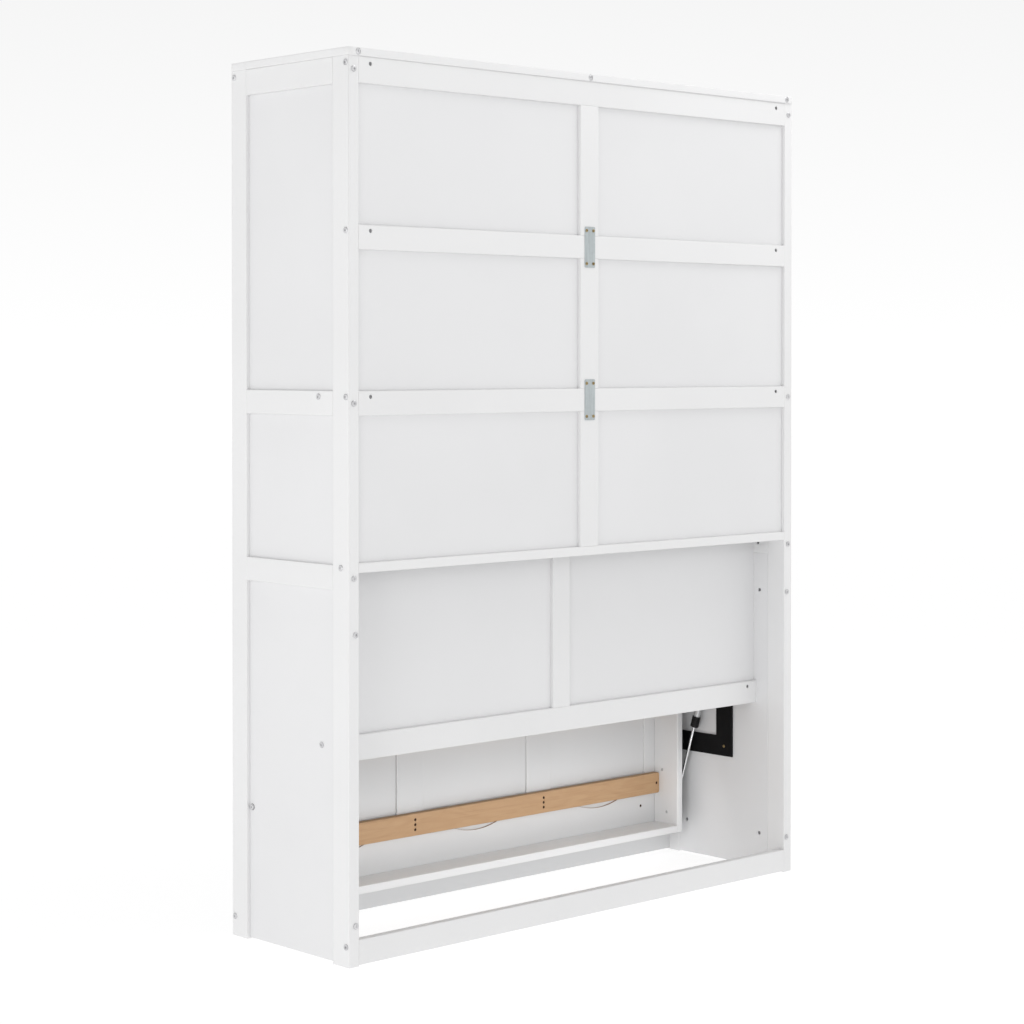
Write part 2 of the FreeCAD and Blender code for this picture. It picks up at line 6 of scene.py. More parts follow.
import json
import logging
import math
from collections import defaultdict
from dataclasses import dataclass, field
from enum import Enum
from functools import cache
from typing import Any, Iterable, Sequence

import bmesh
import bpy
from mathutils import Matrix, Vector


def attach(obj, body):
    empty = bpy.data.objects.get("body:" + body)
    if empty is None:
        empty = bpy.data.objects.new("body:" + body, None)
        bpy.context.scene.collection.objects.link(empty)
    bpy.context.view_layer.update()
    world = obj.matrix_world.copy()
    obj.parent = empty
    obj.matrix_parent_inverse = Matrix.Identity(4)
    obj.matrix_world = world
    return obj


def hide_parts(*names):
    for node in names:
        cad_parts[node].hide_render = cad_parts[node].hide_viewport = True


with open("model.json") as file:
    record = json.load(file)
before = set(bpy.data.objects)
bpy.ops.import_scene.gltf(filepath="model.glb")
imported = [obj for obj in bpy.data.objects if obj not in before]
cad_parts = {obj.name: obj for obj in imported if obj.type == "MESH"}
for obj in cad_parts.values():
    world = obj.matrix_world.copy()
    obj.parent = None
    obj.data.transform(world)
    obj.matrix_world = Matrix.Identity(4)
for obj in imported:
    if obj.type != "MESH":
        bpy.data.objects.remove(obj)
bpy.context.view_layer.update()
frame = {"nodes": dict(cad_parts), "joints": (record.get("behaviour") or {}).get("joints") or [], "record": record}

log = logging.getLogger("wall_bed")

MM = 0.001

# Points of the CAD's mesh that are closer than this are one point.
WELD = 0.02 * MM
# The margin kept along the edges of boards, where the paint may be rubbed.
BORDER = 4 * MM
# How far a cutter stands out of the face that it starts from.
OVERSHOOT = 1.5 * MM
# The play between two pieces that fit closely.
CLOSE_FIT = 0.05 * MM
# Edges that bend by more than this stay sharp.
SHARP_ANGLE = math.radians(38)
# How far the grain of each shape of a piece is shifted from the last one's.
GRAIN_SHIFT = (1.37, 0.61, 0.23)
# Half the angle of a cross recess's arm, and its waist as a share of its radius.
CROSS_HALF_ARM = 0.3
CROSS_WAIST = 0.42
# The Mix node's sockets for colours, whose names stand for those of numbers too.
MIX_FACTOR, MIX_FIRST, MIX_SECOND, MIX_RESULT = 0, 6, 7, 2

Flat = tuple[float, float]
Triple = tuple[float, float, float]
Colour = Triple
Shape = bmesh.types.BMesh
Piece = bpy.types.Object


class Side(Enum):
    """The two sides of the cabinet, as someone in the room sees them."""

    RIGHT = "right"
    LEFT = "left"


class Axis(Enum):
    """An axis of the frame."""

    X = 0
    Y = 1
    Z = 2

    @property
    def unit(self) -> Vector:
        """A unit vector along the axis."""
        return Vector([float(index == self.value) for index in range(3)])

    def place(self, first: float, second: float, height: float) -> Vector:
        """Put a point of a flat outline into space.

        Args:
            first: The point's first coordinate in the plane across the axis.
            second: Its second coordinate there.
            height: Its place along the axis.

        Returns:
            The point in the frame.
        """
        spots = [first, second]
        spots.insert(self.value, height)
        return Vector(spots)

    def across(self, point: Vector) -> Flat:
        """A point's two coordinates in the plane across the axis."""
        first, second = (point[index] for index in range(3) if index != self.value)
        return first, second


class Outline(Enum):
    """The cross-section of one ring of a turned shape."""

    ROUND = "round"
    HEX = "hex"
    CROSS = "cross"

    def reach(self, turn: float) -> float:
        """How far the outline reaches at an angle.

        Args:
            turn: The angle in radians.

        Returns:
            The reach as a share of the ring's radius.
        """
        if self is Outline.HEX:
            sixth = math.pi / 3
            return math.cos(sixth / 2) / math.cos(turn % sixth - sixth / 2)
        if self is Outline.CROSS:
            quarter = math.pi / 2
            off_arm = abs((turn + quarter / 2) % quarter - quarter / 2)
            return 1.0 if off_arm < CROSS_HALF_ARM else CROSS_WAIST
        return 1.0


# Shader graphs


class Signal:
    """A shader socket that takes part in Python expressions."""

    def __init__(self, graph: "Graph", socket: bpy.types.NodeSocket) -> None:
        """Keep a socket and the graph that it belongs to."""
        self.graph = graph
        self.socket = socket

    def _math(self, operation: str, first: Any, second: Any) -> "Signal":
        """Add one Math node."""
        return self.graph.node("ShaderNodeMath", {"operation": operation}, {0: first, 1: second})

    def __add__(self, other: Any) -> "Signal":
        """This signal plus another or a number."""
        return self._math("ADD", self, other)

    def __radd__(self, other: Any) -> "Signal":
        """A number plus this signal."""
        return self._math("ADD", other, self)

    def __sub__(self, other: Any) -> "Signal":
        """This signal less another or a number."""
        return self._math("SUBTRACT", self, other)

    def __rsub__(self, other: Any) -> "Signal":
        """A number less this signal."""
        return self._math("SUBTRACT", other, self)

    def __mul__(self, other: Any) -> "Signal":
        """This signal times another or a number."""
        return self._math("MULTIPLY", self, other)

    def __rmul__(self, other: Any) -> "Signal":
        """A number times this signal."""
        return self._math("MULTIPLY", other, self)


class Graph:
    """The node tree of a material or of the world."""

    def __init__(self, owner: bpy.types.Material | bpy.types.World, shader: str) -> None:
        """Switch an owner's nodes on, and keep the shader that it shows.

        Args:
            owner: The material or the world.
            shader: The name of its shader node.
        """
        owner.use_nodes = True
        self.owner = owner
        self.tree = owner.node_tree
        self.surface = self.tree.nodes[shader]

    @classmethod
    def of_material(cls, name: str) -> "Graph":
        """Start a new material with its Principled shader."""
        return cls(bpy.data.materials.new(name), "Principled BSDF")

    def feed(self, socket: bpy.types.NodeSocket, value: Any) -> None:
        """Link a signal to a socket, or set the socket to a constant."""
        if isinstance(value, Signal):
            self.tree.links.new(value.socket, socket)
        else:
            socket.default_value = value

    def node(
        self, kind: str, settings: dict[str, Any], sockets: dict[Any, Any], output: int | str = 0
    ) -> Signal:
        """Add any node.

        Args:
            kind: The node's type.
            settings: Its own settings, which are set first. A ramp's stops are given as "stops".
            sockets: A value or a signal for each named or numbered input.
            output: The output to return.

        Returns:
            The chosen output.
        """
        made = self.tree.nodes.new(kind)
        for name, value in settings.items():
            if name == "stops":
                self._set_stops(made.color_ramp, value)
            else:
                setattr(made, name, value)
        for key, value in sockets.items():
            self.feed(made.inputs[key], value)
        return Signal(self, made.outputs[output])

    @staticmethod
    def _set_stops(ramp: bpy.types.ColorRamp, stops: Sequence[tuple[float, Colour]]) -> None:
        """Give a colour ramp its stops."""
        while len(ramp.elements) < len(stops):
            ramp.elements.new(1.0)
        for element, (position, colour) in zip(ramp.elements, stops):
            element.position = position
            element.color = (*colour, 1.0)

    def attribute(self, name: str, output: str) -> Signal:
        """Read what the mesh stores under a name."""
        return self.node("ShaderNodeAttribute", {"attribute_name": name}, {}, output)

    def stretched(self, vector: Signal, scale: Triple) -> Signal:
        """Scale a vector by its own factor along each axis."""
        return self.node("ShaderNodeVectorMath", {"operation": "MULTIPLY"}, {0: vector, 1: scale})

    def noise(self, vector: Signal, scale: float, detail: float = 2.0, warp: float = 0.0) -> Signal:
        """A noise value between 0 and 1."""
        sockets = {"Vector": vector, "Scale": scale, "Detail": detail, "Distortion": warp}
        return self.node("ShaderNodeTexNoise", {}, sockets)

    def step(self, signal: Signal, low: float, high: float) -> Signal:
        """Rise smoothly from 0 at one value of a signal to 1 at another.

        Args:
            signal: The signal.
            low: Where the rise starts.
            high: Where it ends.

        Returns:
            The step, from 0 to 1.
        """
        settings = {"interpolation_type": "SMOOTHSTEP"}
        sockets = {"Value": signal, "From Min": low, "From Max": high}
        return self.node("ShaderNodeMapRange", settings, sockets)

    def mix(self, first: Any, second: Any, mask: Signal) -> Signal:
        """Blend two colours by a mask.

        Args:
            first: The colour, or a signal, where the mask is 0.
            second: The one where the mask is 1.
            mask: The mask.

        Returns:
            The blended colour.
        """
        first = first if isinstance(first, Signal) else (*first, 1.0)
        second = second if isinstance(second, Signal) else (*second, 1.0)
        sockets = {MIX_FACTOR: mask, MIX_FIRST: first, MIX_SECOND: second}
        return self.node("ShaderNodeMix", {"data_type": "RGBA"}, sockets, MIX_RESULT)

    def bump(self, height: Signal, distance: float, strength: float = 1.0) -> Signal:
        """Turn a height between 0 and 1 into a bumped normal."""
        sockets = {"Height": height, "Distance": distance, "Strength": strength}
        return self.node("ShaderNodeBump", {}, sockets)

    def dress(self, **sockets: Any) -> bpy.types.Material | bpy.types.World:
        """Set the shader's sockets, named with _ for a space, and return the owner."""
        for name, value in sockets.items():
            if isinstance(value, tuple) and len(value) == 3:
                value = (*value, 1.0)
            self.feed(self.surface.inputs[name.replace("_", " ")], value)
        return self.owner


# Finishes


SAWN_BOARD: Colour = (0.42, 0.27, 0.17)
SAWN_BOARD_DARK: Colour = (0.26, 0.15, 0.09)
RUBBED_PAINT: Colour = (0.76, 0.755, 0.74)


@dataclass(frozen=True)
class SatinPaint:
    """Satin paint, sprayed in two coats over primed board and rubbed thin along the arrises."""

    name: str
    colour: Colour
    shade: Colour
    thin: Colour = RUBBED_PAINT
    raw: Colour = SAWN_BOARD
    raw_dark: Colour = SAWN_BOARD_DARK
    roughness: float = 0.40
    cloud_scale: float = 2.3
    stroke_stretch: Triple = (9.0, 420.0, 420.0)
    peel_scale: float = 780.0
    rub_scale: float = 55.0
    rub_noise: float = 0.55
    rub_span: Flat = (1.12, 1.5)
    saw_stretch: Triple = (60.0, 900.0, 900.0)
    relief_height: float = 0.06 * MM

    @cache
    def material(self) -> bpy.types.Material:
        """Make the paint's material once.

        Returns:
            The material, the same one each time.
        """
        graph = Graph.of_material(self.name)
        flow = graph.attribute("flow", "Vector")
        cloud = graph.noise(flow, self.cloud_scale, 3.0)
        strokes = graph.noise(graph.stretched(flow, self.stroke_stretch), 1.0, 3.0)
        peel = graph.noise(flow, self.peel_scale, 2.0)
        wear = graph.attribute("edge", "Fac") + self.rub_noise * graph.noise(flow, self.rub_scale, 4.0)
        rubbed = graph.step(wear, *self.rub_span)
        painted = graph.mix(self.colour, self.shade, graph.step(cloud, 0.35, 0.7))
        painted = graph.mix(painted, self.thin, rubbed * 0.5)
        cut_grain = graph.noise(graph.stretched(flow, self.saw_stretch), 1.0, 4.0)
        cut_edge = graph.mix(self.raw, self.raw_dark, graph.step(cut_grain, 0.3, 0.7))
        sawn = graph.attribute("raw", "Fac")
        relief = 0.6 * peel + 0.4 * strokes + sawn * cut_grain
        return graph.dress(
            Base_Color=graph.mix(painted, cut_edge, sawn),
            Roughness=self.roughness - 0.06 + 0.1 * cloud + 0.05 * strokes + 0.3 * sawn,
            Normal=graph.bump(relief, self.relief_height),
        )


@dataclass(frozen=True)
class RawPine:
    """Planed softwood with faint growth lines along the board, swirls and a few knots."""

    name: str
    pale: Colour
    warm: Colour
    late: Colour
    knot: Colour
    knot_reach: float = 0.09
    knot_share: float = 0.3
    knot_stretch: Triple = (9.0, 14.0, 0.0)
    swirl_stretch: Triple = (7.0, 30.0, 30.0)
    growth_stretch: Triple = (5.0, 130.0, 130.0)
    fibre_stretch: Triple = (22.0, 900.0, 900.0)
    relief_height: float = 0.12 * MM

    @cache
    def material(self) -> bpy.types.Material:
        """Make the wood's material once.

        Returns:
            The material, the same one each time.
        """
        graph = Graph.of_material(self.name)
        flow = graph.attribute("flow", "Vector")
        settings = {"feature": "F1"}
        sockets = {"Vector": graph.stretched(flow, self.knot_stretch), "Scale": 1.0, "Randomness": 0.9}
        gap = graph.node("ShaderNodeTexVoronoi", settings, sockets, "Distance")
        pick = graph.node("ShaderNodeTexVoronoi", settings, sockets, "Color")
        red = graph.node("ShaderNodeSeparateColor", {}, {0: pick}, 0)
        chosen = graph.step(red, 1 - self.knot_share, 1.01 - self.knot_share)
        near = (1 - graph.step(gap, 0.0, self.knot_reach * 5)) * chosen
        core = (1 - graph.step(gap, self.knot_reach * 0.4, self.knot_reach)) * chosen
        swirl = graph.noise(graph.stretched(flow, self.swirl_stretch), 1.0, 3.0, 1.8)
        growth = graph.noise(graph.stretched(flow, self.growth_stretch), 1.0, 2.0, 1.4)
        fibre = graph.noise(graph.stretched(flow, self.fibre_stretch), 1.0, 4.0)
        swirled = graph.step(swirl, 0.3, 0.7)
        wood = graph.mix(self.pale, self.warm, swirled)
        wood = graph.mix(wood, self.late, graph.step(growth, 0.5, 0.8) * 0.4)
        wood = graph.mix(wood, self.late, graph.step(fibre, 0.55, 0.85) * 0.2)
        wood = graph.mix(wood, self.late, near * swirled * 0.6)
        wood = graph.mix(wood, self.knot, core * 0.7)
        return graph.dress(
            Base_Color=wood,
            Roughness=0.62 - 0.1 * growth + 0.1 * fibre,
            Normal=graph.bump(fibre * 0.7 + growth * 0.3, self.relief_height),
        )


@dataclass(frozen=True)
class PlatedMetal:
    """Bare or plated metal with a fine brushed grain, dulled in clouds."""

    name: str
    colour: Colour
    dull: Colour
    roughness: float
    streak: float = 0.0
    clouding: float = 1.0
    cloud_scale: float = 90.0
    brush_stretch: Triple = (160.0, 2600.0, 2600.0)
    roll_stretch: Triple = (14.0, 420.0, 420.0)
    relief_height: float = 0.02 * MM

    @cache
    def material(self) -> bpy.types.Material:
        """Make the metal's material once.

        Returns:
            The material, the same one each time.
        """
        graph = Graph.of_material(self.name)
        flow = graph.attribute("flow", "Vector")
        cloud = graph.noise(flow, self.cloud_scale, 4.0)
        brushed = graph.noise(graph.stretched(flow, self.brush_stretch), 1.0, 3.0)
        rolled = graph.noise(graph.stretched(flow, self.roll_stretch), 1.0, 3.0)
        tint = graph.mix(self.colour, self.dull, graph.step(cloud, 0.4, 0.75) * self.clouding)
        tint = graph.mix(tint, self.dull, graph.step(rolled, 0.4, 0.7) * self.streak)
        return graph.dress(
            Base_Color=tint,
            Metallic=1.0,
            Roughness=self.roughness + 0.12 * cloud + 0.08 * brushed + self.streak * 0.1 * rolled,
            Normal=graph.bump(brushed, self.relief_height),
        )


@dataclass(frozen=True)
class CoatedSteel:
    """Powder coat or oxide on steel, with a fine pebbled skin and paler rubbed edges."""

    name: str
    colour: Colour
    rubbed: Colour
    roughness: float
    pebble: float = 1500.0
    gloss: float = 0.5
    cloud_scale: float = 30.0
    wear_scale: float = 140.0
    wear_span: Flat = (1.1, 1.5)
    relief_height: float = 0.05 * MM

    @cache
    def material(self) -> bpy.types.Material:
        """Make the coating's material once.

        Returns:
            The material, the same one each time.
        """
        graph = Graph.of_material(self.name)
        flow = graph.attribute("flow", "Vector")
        skin = graph.noise(flow, self.pebble, 2.0)
        cloud = graph.noise(flow, self.cloud_scale, 3.0)
        wear = graph.attribute("edge", "Fac") + 0.5 * graph.noise(flow, self.wear_scale, 4.0)
        worn = graph.step(wear, *self.wear_span)
        return graph.dress(
            Base_Color=graph.mix(self.colour, self.rubbed, worn * 0.55 + 0.12 * cloud),
            Roughness=self.roughness + 0.15 * cloud - 0.1 * worn,
            Specular_IOR_Level=self.gloss,
            Normal=graph.bump(skin, self.relief_height),
        )


@dataclass(frozen=True)
class Moulded:
    """Moulded plastic or rubber with a fine spark-eroded grain."""

    name: str
    colour: Colour
    shade: Colour
    roughness: float
    gloss: float = 0.5
    grain_scale: float = 1800.0
    cloud_scale: float = 60.0
    relief_height: float = 0.04 * MM

    @cache
    def material(self) -> bpy.types.Material:
        """Make the moulding's material once.

        Returns:
            The material, the same one each time.
        """
        graph = Graph.of_material(self.name)
        flow = graph.attribute("flow", "Vector")
        grain = graph.noise(flow, self.grain_scale, 3.0)
        cloud = graph.noise(flow, self.cloud_scale, 3.0)
        return graph.dress(
            Base_Color=graph.mix(self.colour, self.shade, graph.step(cloud, 0.35, 0.7)),
            Roughness=self.roughness + 0.1 * cloud,
            Specular_IOR_Level=self.gloss,
            Normal=graph.bump(grain, self.relief_height),
        )


@dataclass(frozen=True)
class SilverLacquer:
    """Silver lacquer on a steel tube: fine flake under a clear film."""

    name: str
    colour: Colour
    flake: Colour
    roughness: float = 0.26
    metal_share: float = 0.75
    flake_scale: float = 2400.0
    cloud_scale: float = 45.0
    relief_height: float = 0.015 * MM

    @cache
    def material(self) -> bpy.types.Material:
        """Make the lacquer's material once.

        Returns:
            The material, the same one each time.
        """
        graph = Graph.of_material(self.name)
        flow = graph.attribute("flow", "Vector")
        flakes = graph.noise(flow, self.flake_scale, 2.0)
        cloud = graph.noise(flow, self.cloud_scale, 3.0)
        return graph.dress(
            Base_Color=graph.mix(self.colour, self.flake, graph.step(flakes, 0.45, 0.75)),
            Metallic=self.metal_share,
            Roughness=self.roughness + 0.12 * cloud,
            Normal=graph.bump(flakes, self.relief_height),
        )


Finish = SatinPaint | RawPine | PlatedMetal | CoatedSteel | Moulded | SilverLacquer

WHITE_PAINT = SatinPaint("satin_white_paint", (0.808, 0.808, 0.811), (0.79, 0.79, 0.793))
PANEL_PAINT = SatinPaint("satin_white_panel", (0.782, 0.782, 0.789), (0.765, 0.765, 0.772))
# Darker than the frame's paint, for the bed's face and the front plinth inside the cabinet: partly primed board,
# partly painted shade of the cabinet's inside.
FACE_PAINT_WITH_PAINTED_SHADE = SatinPaint("satin_white_face_painted_shade", (0.70, 0.703, 0.708), (0.682, 0.685, 0.69))
PINE = RawPine(
    "raw_pine",
    pale=(0.51, 0.32, 0.172),
    warm=(0.475, 0.288, 0.15),
    late=(0.37, 0.20, 0.092),
    knot=(0.20, 0.085, 0.035),
)
ZINC = PlatedMetal("zinc_plate", (0.53, 0.575, 0.585), (0.43, 0.465, 0.475), 0.34, streak=0.8, clouding=0.3)
BRASS = PlatedMetal("passivated_brass", (0.40, 0.31, 0.16), (0.22, 0.16, 0.075), 0.28)
NICKEL = PlatedMetal("nickel_plate", (0.68, 0.68, 0.69), (0.50, 0.50, 0.51), 0.30)
# Darker than bare steel: the nuts' colour is partly steel and partly painted shade of the deep bores that they sit
# in.
NUT_STEEL_WITH_PAINTED_SHADE = PlatedMetal("barrel_nut_steel_painted_shade", (0.28, 0.28, 0.29), (0.16, 0.16, 0.165), 0.32)
CHROME = PlatedMetal("ground_chrome", (0.80, 0.80, 0.81), (0.70, 0.70, 0.71), 0.08)
OXIDE = CoatedSteel("brown_oxide", (0.045, 0.018, 0.009), (0.12, 0.06, 0.035), 0.45, 2600.0, 0.15)
POWDER_COAT = CoatedSteel("black_powder_coat", (0.006, 0.006, 0.0065), (0.03, 0.03, 0.031), 0.5, gloss=0.1)
NYLON = Moulded("black_nylon", (0.008, 0.008, 0.0085), (0.012, 0.012, 0.013), 0.5, 0.2)
RUBBER = Moulded("foot_rubber", (0.03, 0.03, 0.03), (0.045, 0.044, 0.043), 0.75)
BLACK_PLASTIC = Moulded("black_collar_plastic", (0.005, 0.005, 0.0055), (0.009, 0.009, 0.0095), 0.34, 0.22)
SILVER = SilverLacquer("silver_lacquer", (0.55, 0.56, 0.57), (0.72, 0.73, 0.74))


# What the CAD frame says


@dataclass(frozen=True, eq=False)
class Solid:
    """One solid of a CAD node, by its corner points."""

    points: tuple[Vector, ...]
    low: Vector
    high: Vector

    @property
    def size(self) -> Vector:
        """The solid's extent along each axis."""
        return self.high - self.low

    @property
    def centre(self) -> Vector:
        """The middle of the solid's box."""
        return (self.low + self.high) / 2

    @property
    def length_axis(self) -> Axis:
        """The axis that the solid is longest along."""
        return Axis(max(range(3), key=lambda index: self.size[index]))

    def span(self, axis: Axis) -> Flat:
        """Where the solid starts and ends along an axis."""
        return self.low[axis.value], self.high[axis.value]


@cache
def solids_of(node: str) -> tuple[Solid, ...]:
    """Split a CAD node into its solids.

    Args:
        node: The node's name.

    Returns:
        The node's solids, in the order of their lowest corners.
    """
    mesh = frame["nodes"][node].data
    spots = [tuple(round(value / WELD) for value in vertex.co) for vertex in mesh.vertices]
    leader: dict[tuple[int, ...], tuple[int, ...]] = {spot: spot for spot in spots}

    def lead(spot: tuple[int, ...]) -> tuple[int, ...]:
        """Find the spot that stands for a spot's solid."""
        while leader[spot] != spot:
            leader[spot] = leader[leader[spot]]
            spot = leader[spot]
        return spot

    for polygon in mesh.polygons:
        first = lead(spots[polygon.vertices[0]])
        for corner in polygon.vertices[1:]:
            leader[lead(spots[corner])] = first
    groups: dict[tuple[int, ...], list[Vector]] = defaultdict(list)
    for vertex, spot in zip(mesh.vertices, spots):
        groups[lead(spot)].append(vertex.co.copy())
    solids = []
    for points in groups.values():
        low = Vector([min(values) for values in zip(*points)])
        high = Vector([max(values) for values in zip(*points)])
        solids.append(Solid(tuple(points), low, high))
    return tuple(sorted(solids, key=lambda solid: tuple(solid.low)))


def body_of(node: str) -> str:
    """The body that carries a CAD node."""
    bodies = frame["record"]["behaviour"]["bodies"]
    return next(body for body, nodes in bodies.items() if node in nodes)


def slot_of(node: str) -> str:
    """The record's material slot of a CAD node."""
    return next(part["material_slot"] for part in frame["record"]["subparts"] if part["node"] == node)


def joint_named(name: str) -> dict[str, Any]:
    """A joint of the record."""
    return next(joint for joint in frame["joints"] if joint["name"] == name)


# Shapes


@dataclass(frozen=True)
class Ring:
    """One ring of a turned shape: its place along the axis, its radius and its outline."""

    height: float
    radius: float
    outline: Outline = Outline.ROUND


def turned(
    rings: Sequence[Ring], start: Vector, along: Vector, sides: int = 24, hollow: bool = False
) -> Shape:
    """Turn a row of rings about an axis.

    Args:
        rings: The rings, in order along the profile.
        start: The point of the axis that heights count from.
        along: The axis's direction.
        sides: How many points each ring has.
        hollow: Whether the last ring joins the first, as in a tube, or both ends are closed.

    Returns:
        A closed shape.
    """
    shape = bmesh.new()
    along = along.normalized()
    upright = along.orthogonal().normalized()
    across = along.cross(upright)
    loops = []
    for ring in rings:
        loop = []
        for index in range(sides):
            turn = 2 * math.pi * index / sides
            reach = ring.radius * ring.outline.reach(turn)
            spoke = upright * math.cos(turn) + across * math.sin(turn)
            loop.append(shape.verts.new(start + along * ring.height + spoke * reach))
        loops.append(loop)
    pairs = list(zip(loops, loops[1:]))
    if hollow:
        pairs.append((loops[-1], loops[0]))
    else:
        shape.faces.new(list(reversed(loops[0])))
        shape.faces.new(loops[-1])
    for lower, upper in pairs:
        for index in range(sides):
            after = (index + 1) % sides
            shape.faces.new((lower[index], lower[after], upper[after], upper[index]))
    bmesh.ops.recalc_face_normals(shape, faces=shape.faces)
    return shape


def rounded_outline(corners: Sequence[Triple], steps: int = 4) -> list[Flat]:
    """Round the corners of a flat outline.

    Args:
        corners: Each corner's two coordinates and its radius.
        steps: How many points each rounded corner gets, less one.

    Returns:
        The outline's points.
    """
    points: list[Flat] = []
    for index, (x, y, radius) in enumerate(corners):
        if radius <= 0:
            points.append((x, y))
            continue
        corner = Vector((x, y))
        before = (Vector(corners[index - 1][:2]) - corner).normalized()
        after = (Vector(corners[(index + 1) % len(corners)][:2]) - corner).normalized()
        half = before.angle(after) / 2
        centre = corner + (before + after).normalized() * radius / math.sin(half)
        first = corner + before * radius / math.tan(half) - centre
        last = corner + after * radius / math.tan(half) - centre
        for step in range(steps + 1):
            spoke = first.lerp(last, step / steps).normalized() * radius
            points.append(tuple(centre + spoke))
    return points


def rectangle(low: Flat, high: Flat, radius: float, steps: int = 3) -> list[Flat]:
    """A rectangle with rounded corners."""
    corners = ((low[0], low[1]), (high[0], low[1]), (high[0], high[1]), (low[0], high[1]))
    return rounded_outline([(x, y, radius) for x, y in corners], steps)


def prism(
    outline: Sequence[Flat],
    axis: Axis,
    span: Flat,
    rim: float,
    border: float = 0.0,
    end_border: float = 0.0,
) -> Shape:
    """Draw an outline out along an axis, with rounded rims.

    Args:
        outline: The outline's points in the plane across the axis.
        axis: The axis to draw it along.
        span: Where the shape starts and ends along the axis.
        rim: The rounding of the edges round both ends.
        border: The width of the margin kept along the edges of the wide faces between the ends.
        end_border: The width of the margin round both ends, less than the outline's corner radii.

    Returns:
        A closed shape, whose points carry how near to an edge they are.
    """
    shape = bmesh.new()
    edge = shape.verts.layers.float.new("edge")
    first, last = ([shape.verts.new(axis.place(x, y, height)) for x, y in outline] for height in span)
    caps = [shape.faces.new(first), shape.faces.new(list(reversed(last)))]
    count = len(outline)
    for index in range(count):
        after = (index + 1) % count
        shape.faces.new((first[after], first[index], last[index], last[after]))
    bmesh.ops.recalc_face_normals(shape, faces=shape.faces)
    rims = [line for cap in caps for line in cap.edges]
    rounding = {"offset": rim, "segments": 2, "profile": 0.5, "affect": "EDGES", "clamp_overlap": True}
    bmesh.ops.bevel(shape, geom=rims, **rounding)
    for vert in shape.verts:
        vert[edge] = 1.0
    known = set(shape.verts)
    square_on = 0.999
    least_width = 2.2 * border
    sides, ends = [], []
    for face in shape.faces:
        if abs(face.normal.dot(axis.unit)) > square_on:
            ends.append(face)
        elif 2 * face.calc_area() / face.calc_perimeter() > least_width:
            sides.append(face)
    for faces, thickness in ((sides, border), (ends, end_border)):
        if thickness > 0:
            bmesh.ops.inset_individual(shape, faces=faces, thickness=thickness, use_even_offset=True)
    for vert in shape.verts:
        if vert not in known:
            vert[edge] = 0.0
    return shape


def board(solid: Solid, arris: float, end_arris: float) -> Shape:
    """Shape a board to a CAD solid's box.

    Args:
        solid: The solid.
        arris: The rounding of the edges along the board.
        end_arris: The rounding of the edges round its ends.

    Returns:
        A closed shape.
    """
    axis = solid.length_axis
    outline = rectangle(axis.across(solid.low), axis.across(solid.high), arris)
    return prism(outline, axis, solid.span(axis), end_arris, BORDER)


def scratch_object(shape: Shape) -> Piece:
    """Put a shape into a short-lived object, and free the shape.

    Args:
        shape: The shape, which is gone afterwards.

    Returns:
        The object, linked to the scene.
    """
    mesh = bpy.data.meshes.new("scratch")
    shape.to_mesh(mesh)
    shape.free()
    made = bpy.data.objects.new("scratch", mesh)
    bpy.context.scene.collection.objects.link(made)
    return made


def joined(shapes: Iterable[Shape]) -> Shape:
    """Gather shapes that lie apart into one, and free them.

    Args:
        shapes: The shapes, which are gone afterwards.

    Returns:
        The new shape.
    """
    whole = bmesh.new()
    for shape in shapes:
        copies = {vert: whole.verts.new(vert.co) for vert in shape.verts}
        for face in shape.faces:
            whole.faces.new([copies[vert] for vert in face.verts])
        shape.free()
    return whole


def carved(shape: Shape, groups: Sequence[list[Shape]]) -> Shape:
    """Cut groups of cutters out of a shape, one group after the other.

    Args:
        shape: A closed shape.
        groups: Closed cutters. Those of one group lie apart.

    Returns:
        The carved shape, or the same one where there is nothing to cut.
    """
    groups = [group for group in groups if group]
    if not groups:
        return shape
    scraps = [scratch_object(shape)]
    for group in groups:
        scraps.append(scratch_object(joined(group)))
        cut = scraps[0].modifiers.new("bore", "BOOLEAN")
        cut.operation = "DIFFERENCE"
        cut.solver = "EXACT"
        cut.object = scraps[-1]
    evaluated = scraps[0].evaluated_get(bpy.context.evaluated_depsgraph_get())
    result = bmesh.new()
    result.from_mesh(evaluated.to_mesh())
    evaluated.to_mesh_clear()
    for scrap in scraps:
        mesh = scrap.data
        bpy.data.objects.remove(scrap)
        bpy.data.meshes.remove(mesh)
    return result


# Fasteners read from the CAD, and the bores that they need


@dataclass(frozen=True, eq=False)
class Fastener:
    """A bolt or a screw of the CAD: the middle of its head's outer face, its direction and its length."""

    top: Vector
    along: Vector
    length: float
    head_radius: float
    head_height: float
    shank_radius: float
    clearance: float

    def passes(self, solid: Solid) -> bool:
        """Whether the fastener's axis runs through a solid's box.

        Args:
            solid: The solid.

        Returns:
            True where it does.
        """
        margin = 0.2 * MM
        tip = self.top + self.along * self.length
        for index in range(3):
            low, high = sorted((self.top[index], tip[index]))
            if high < solid.low[index] + margin or low > solid.high[index] - margin:
                return False
        return True

    def cutter(self) -> Shape:
        """The shape that makes room for the fastener, and for a sunk head's way in.

        Returns:
            A closed cutter.
        """
        head = self.head_radius + self.clearance
        shank = self.shank_radius + self.clearance
        shoulder = self.head_height - CLOSE_FIT
        rings = (
            Ring(-OVERSHOOT, head),
            Ring(shoulder, head),
            Ring(shoulder, shank),
            Ring(self.length + self.clearance, shank),
        )
        return turned(rings, self.top, self.along)


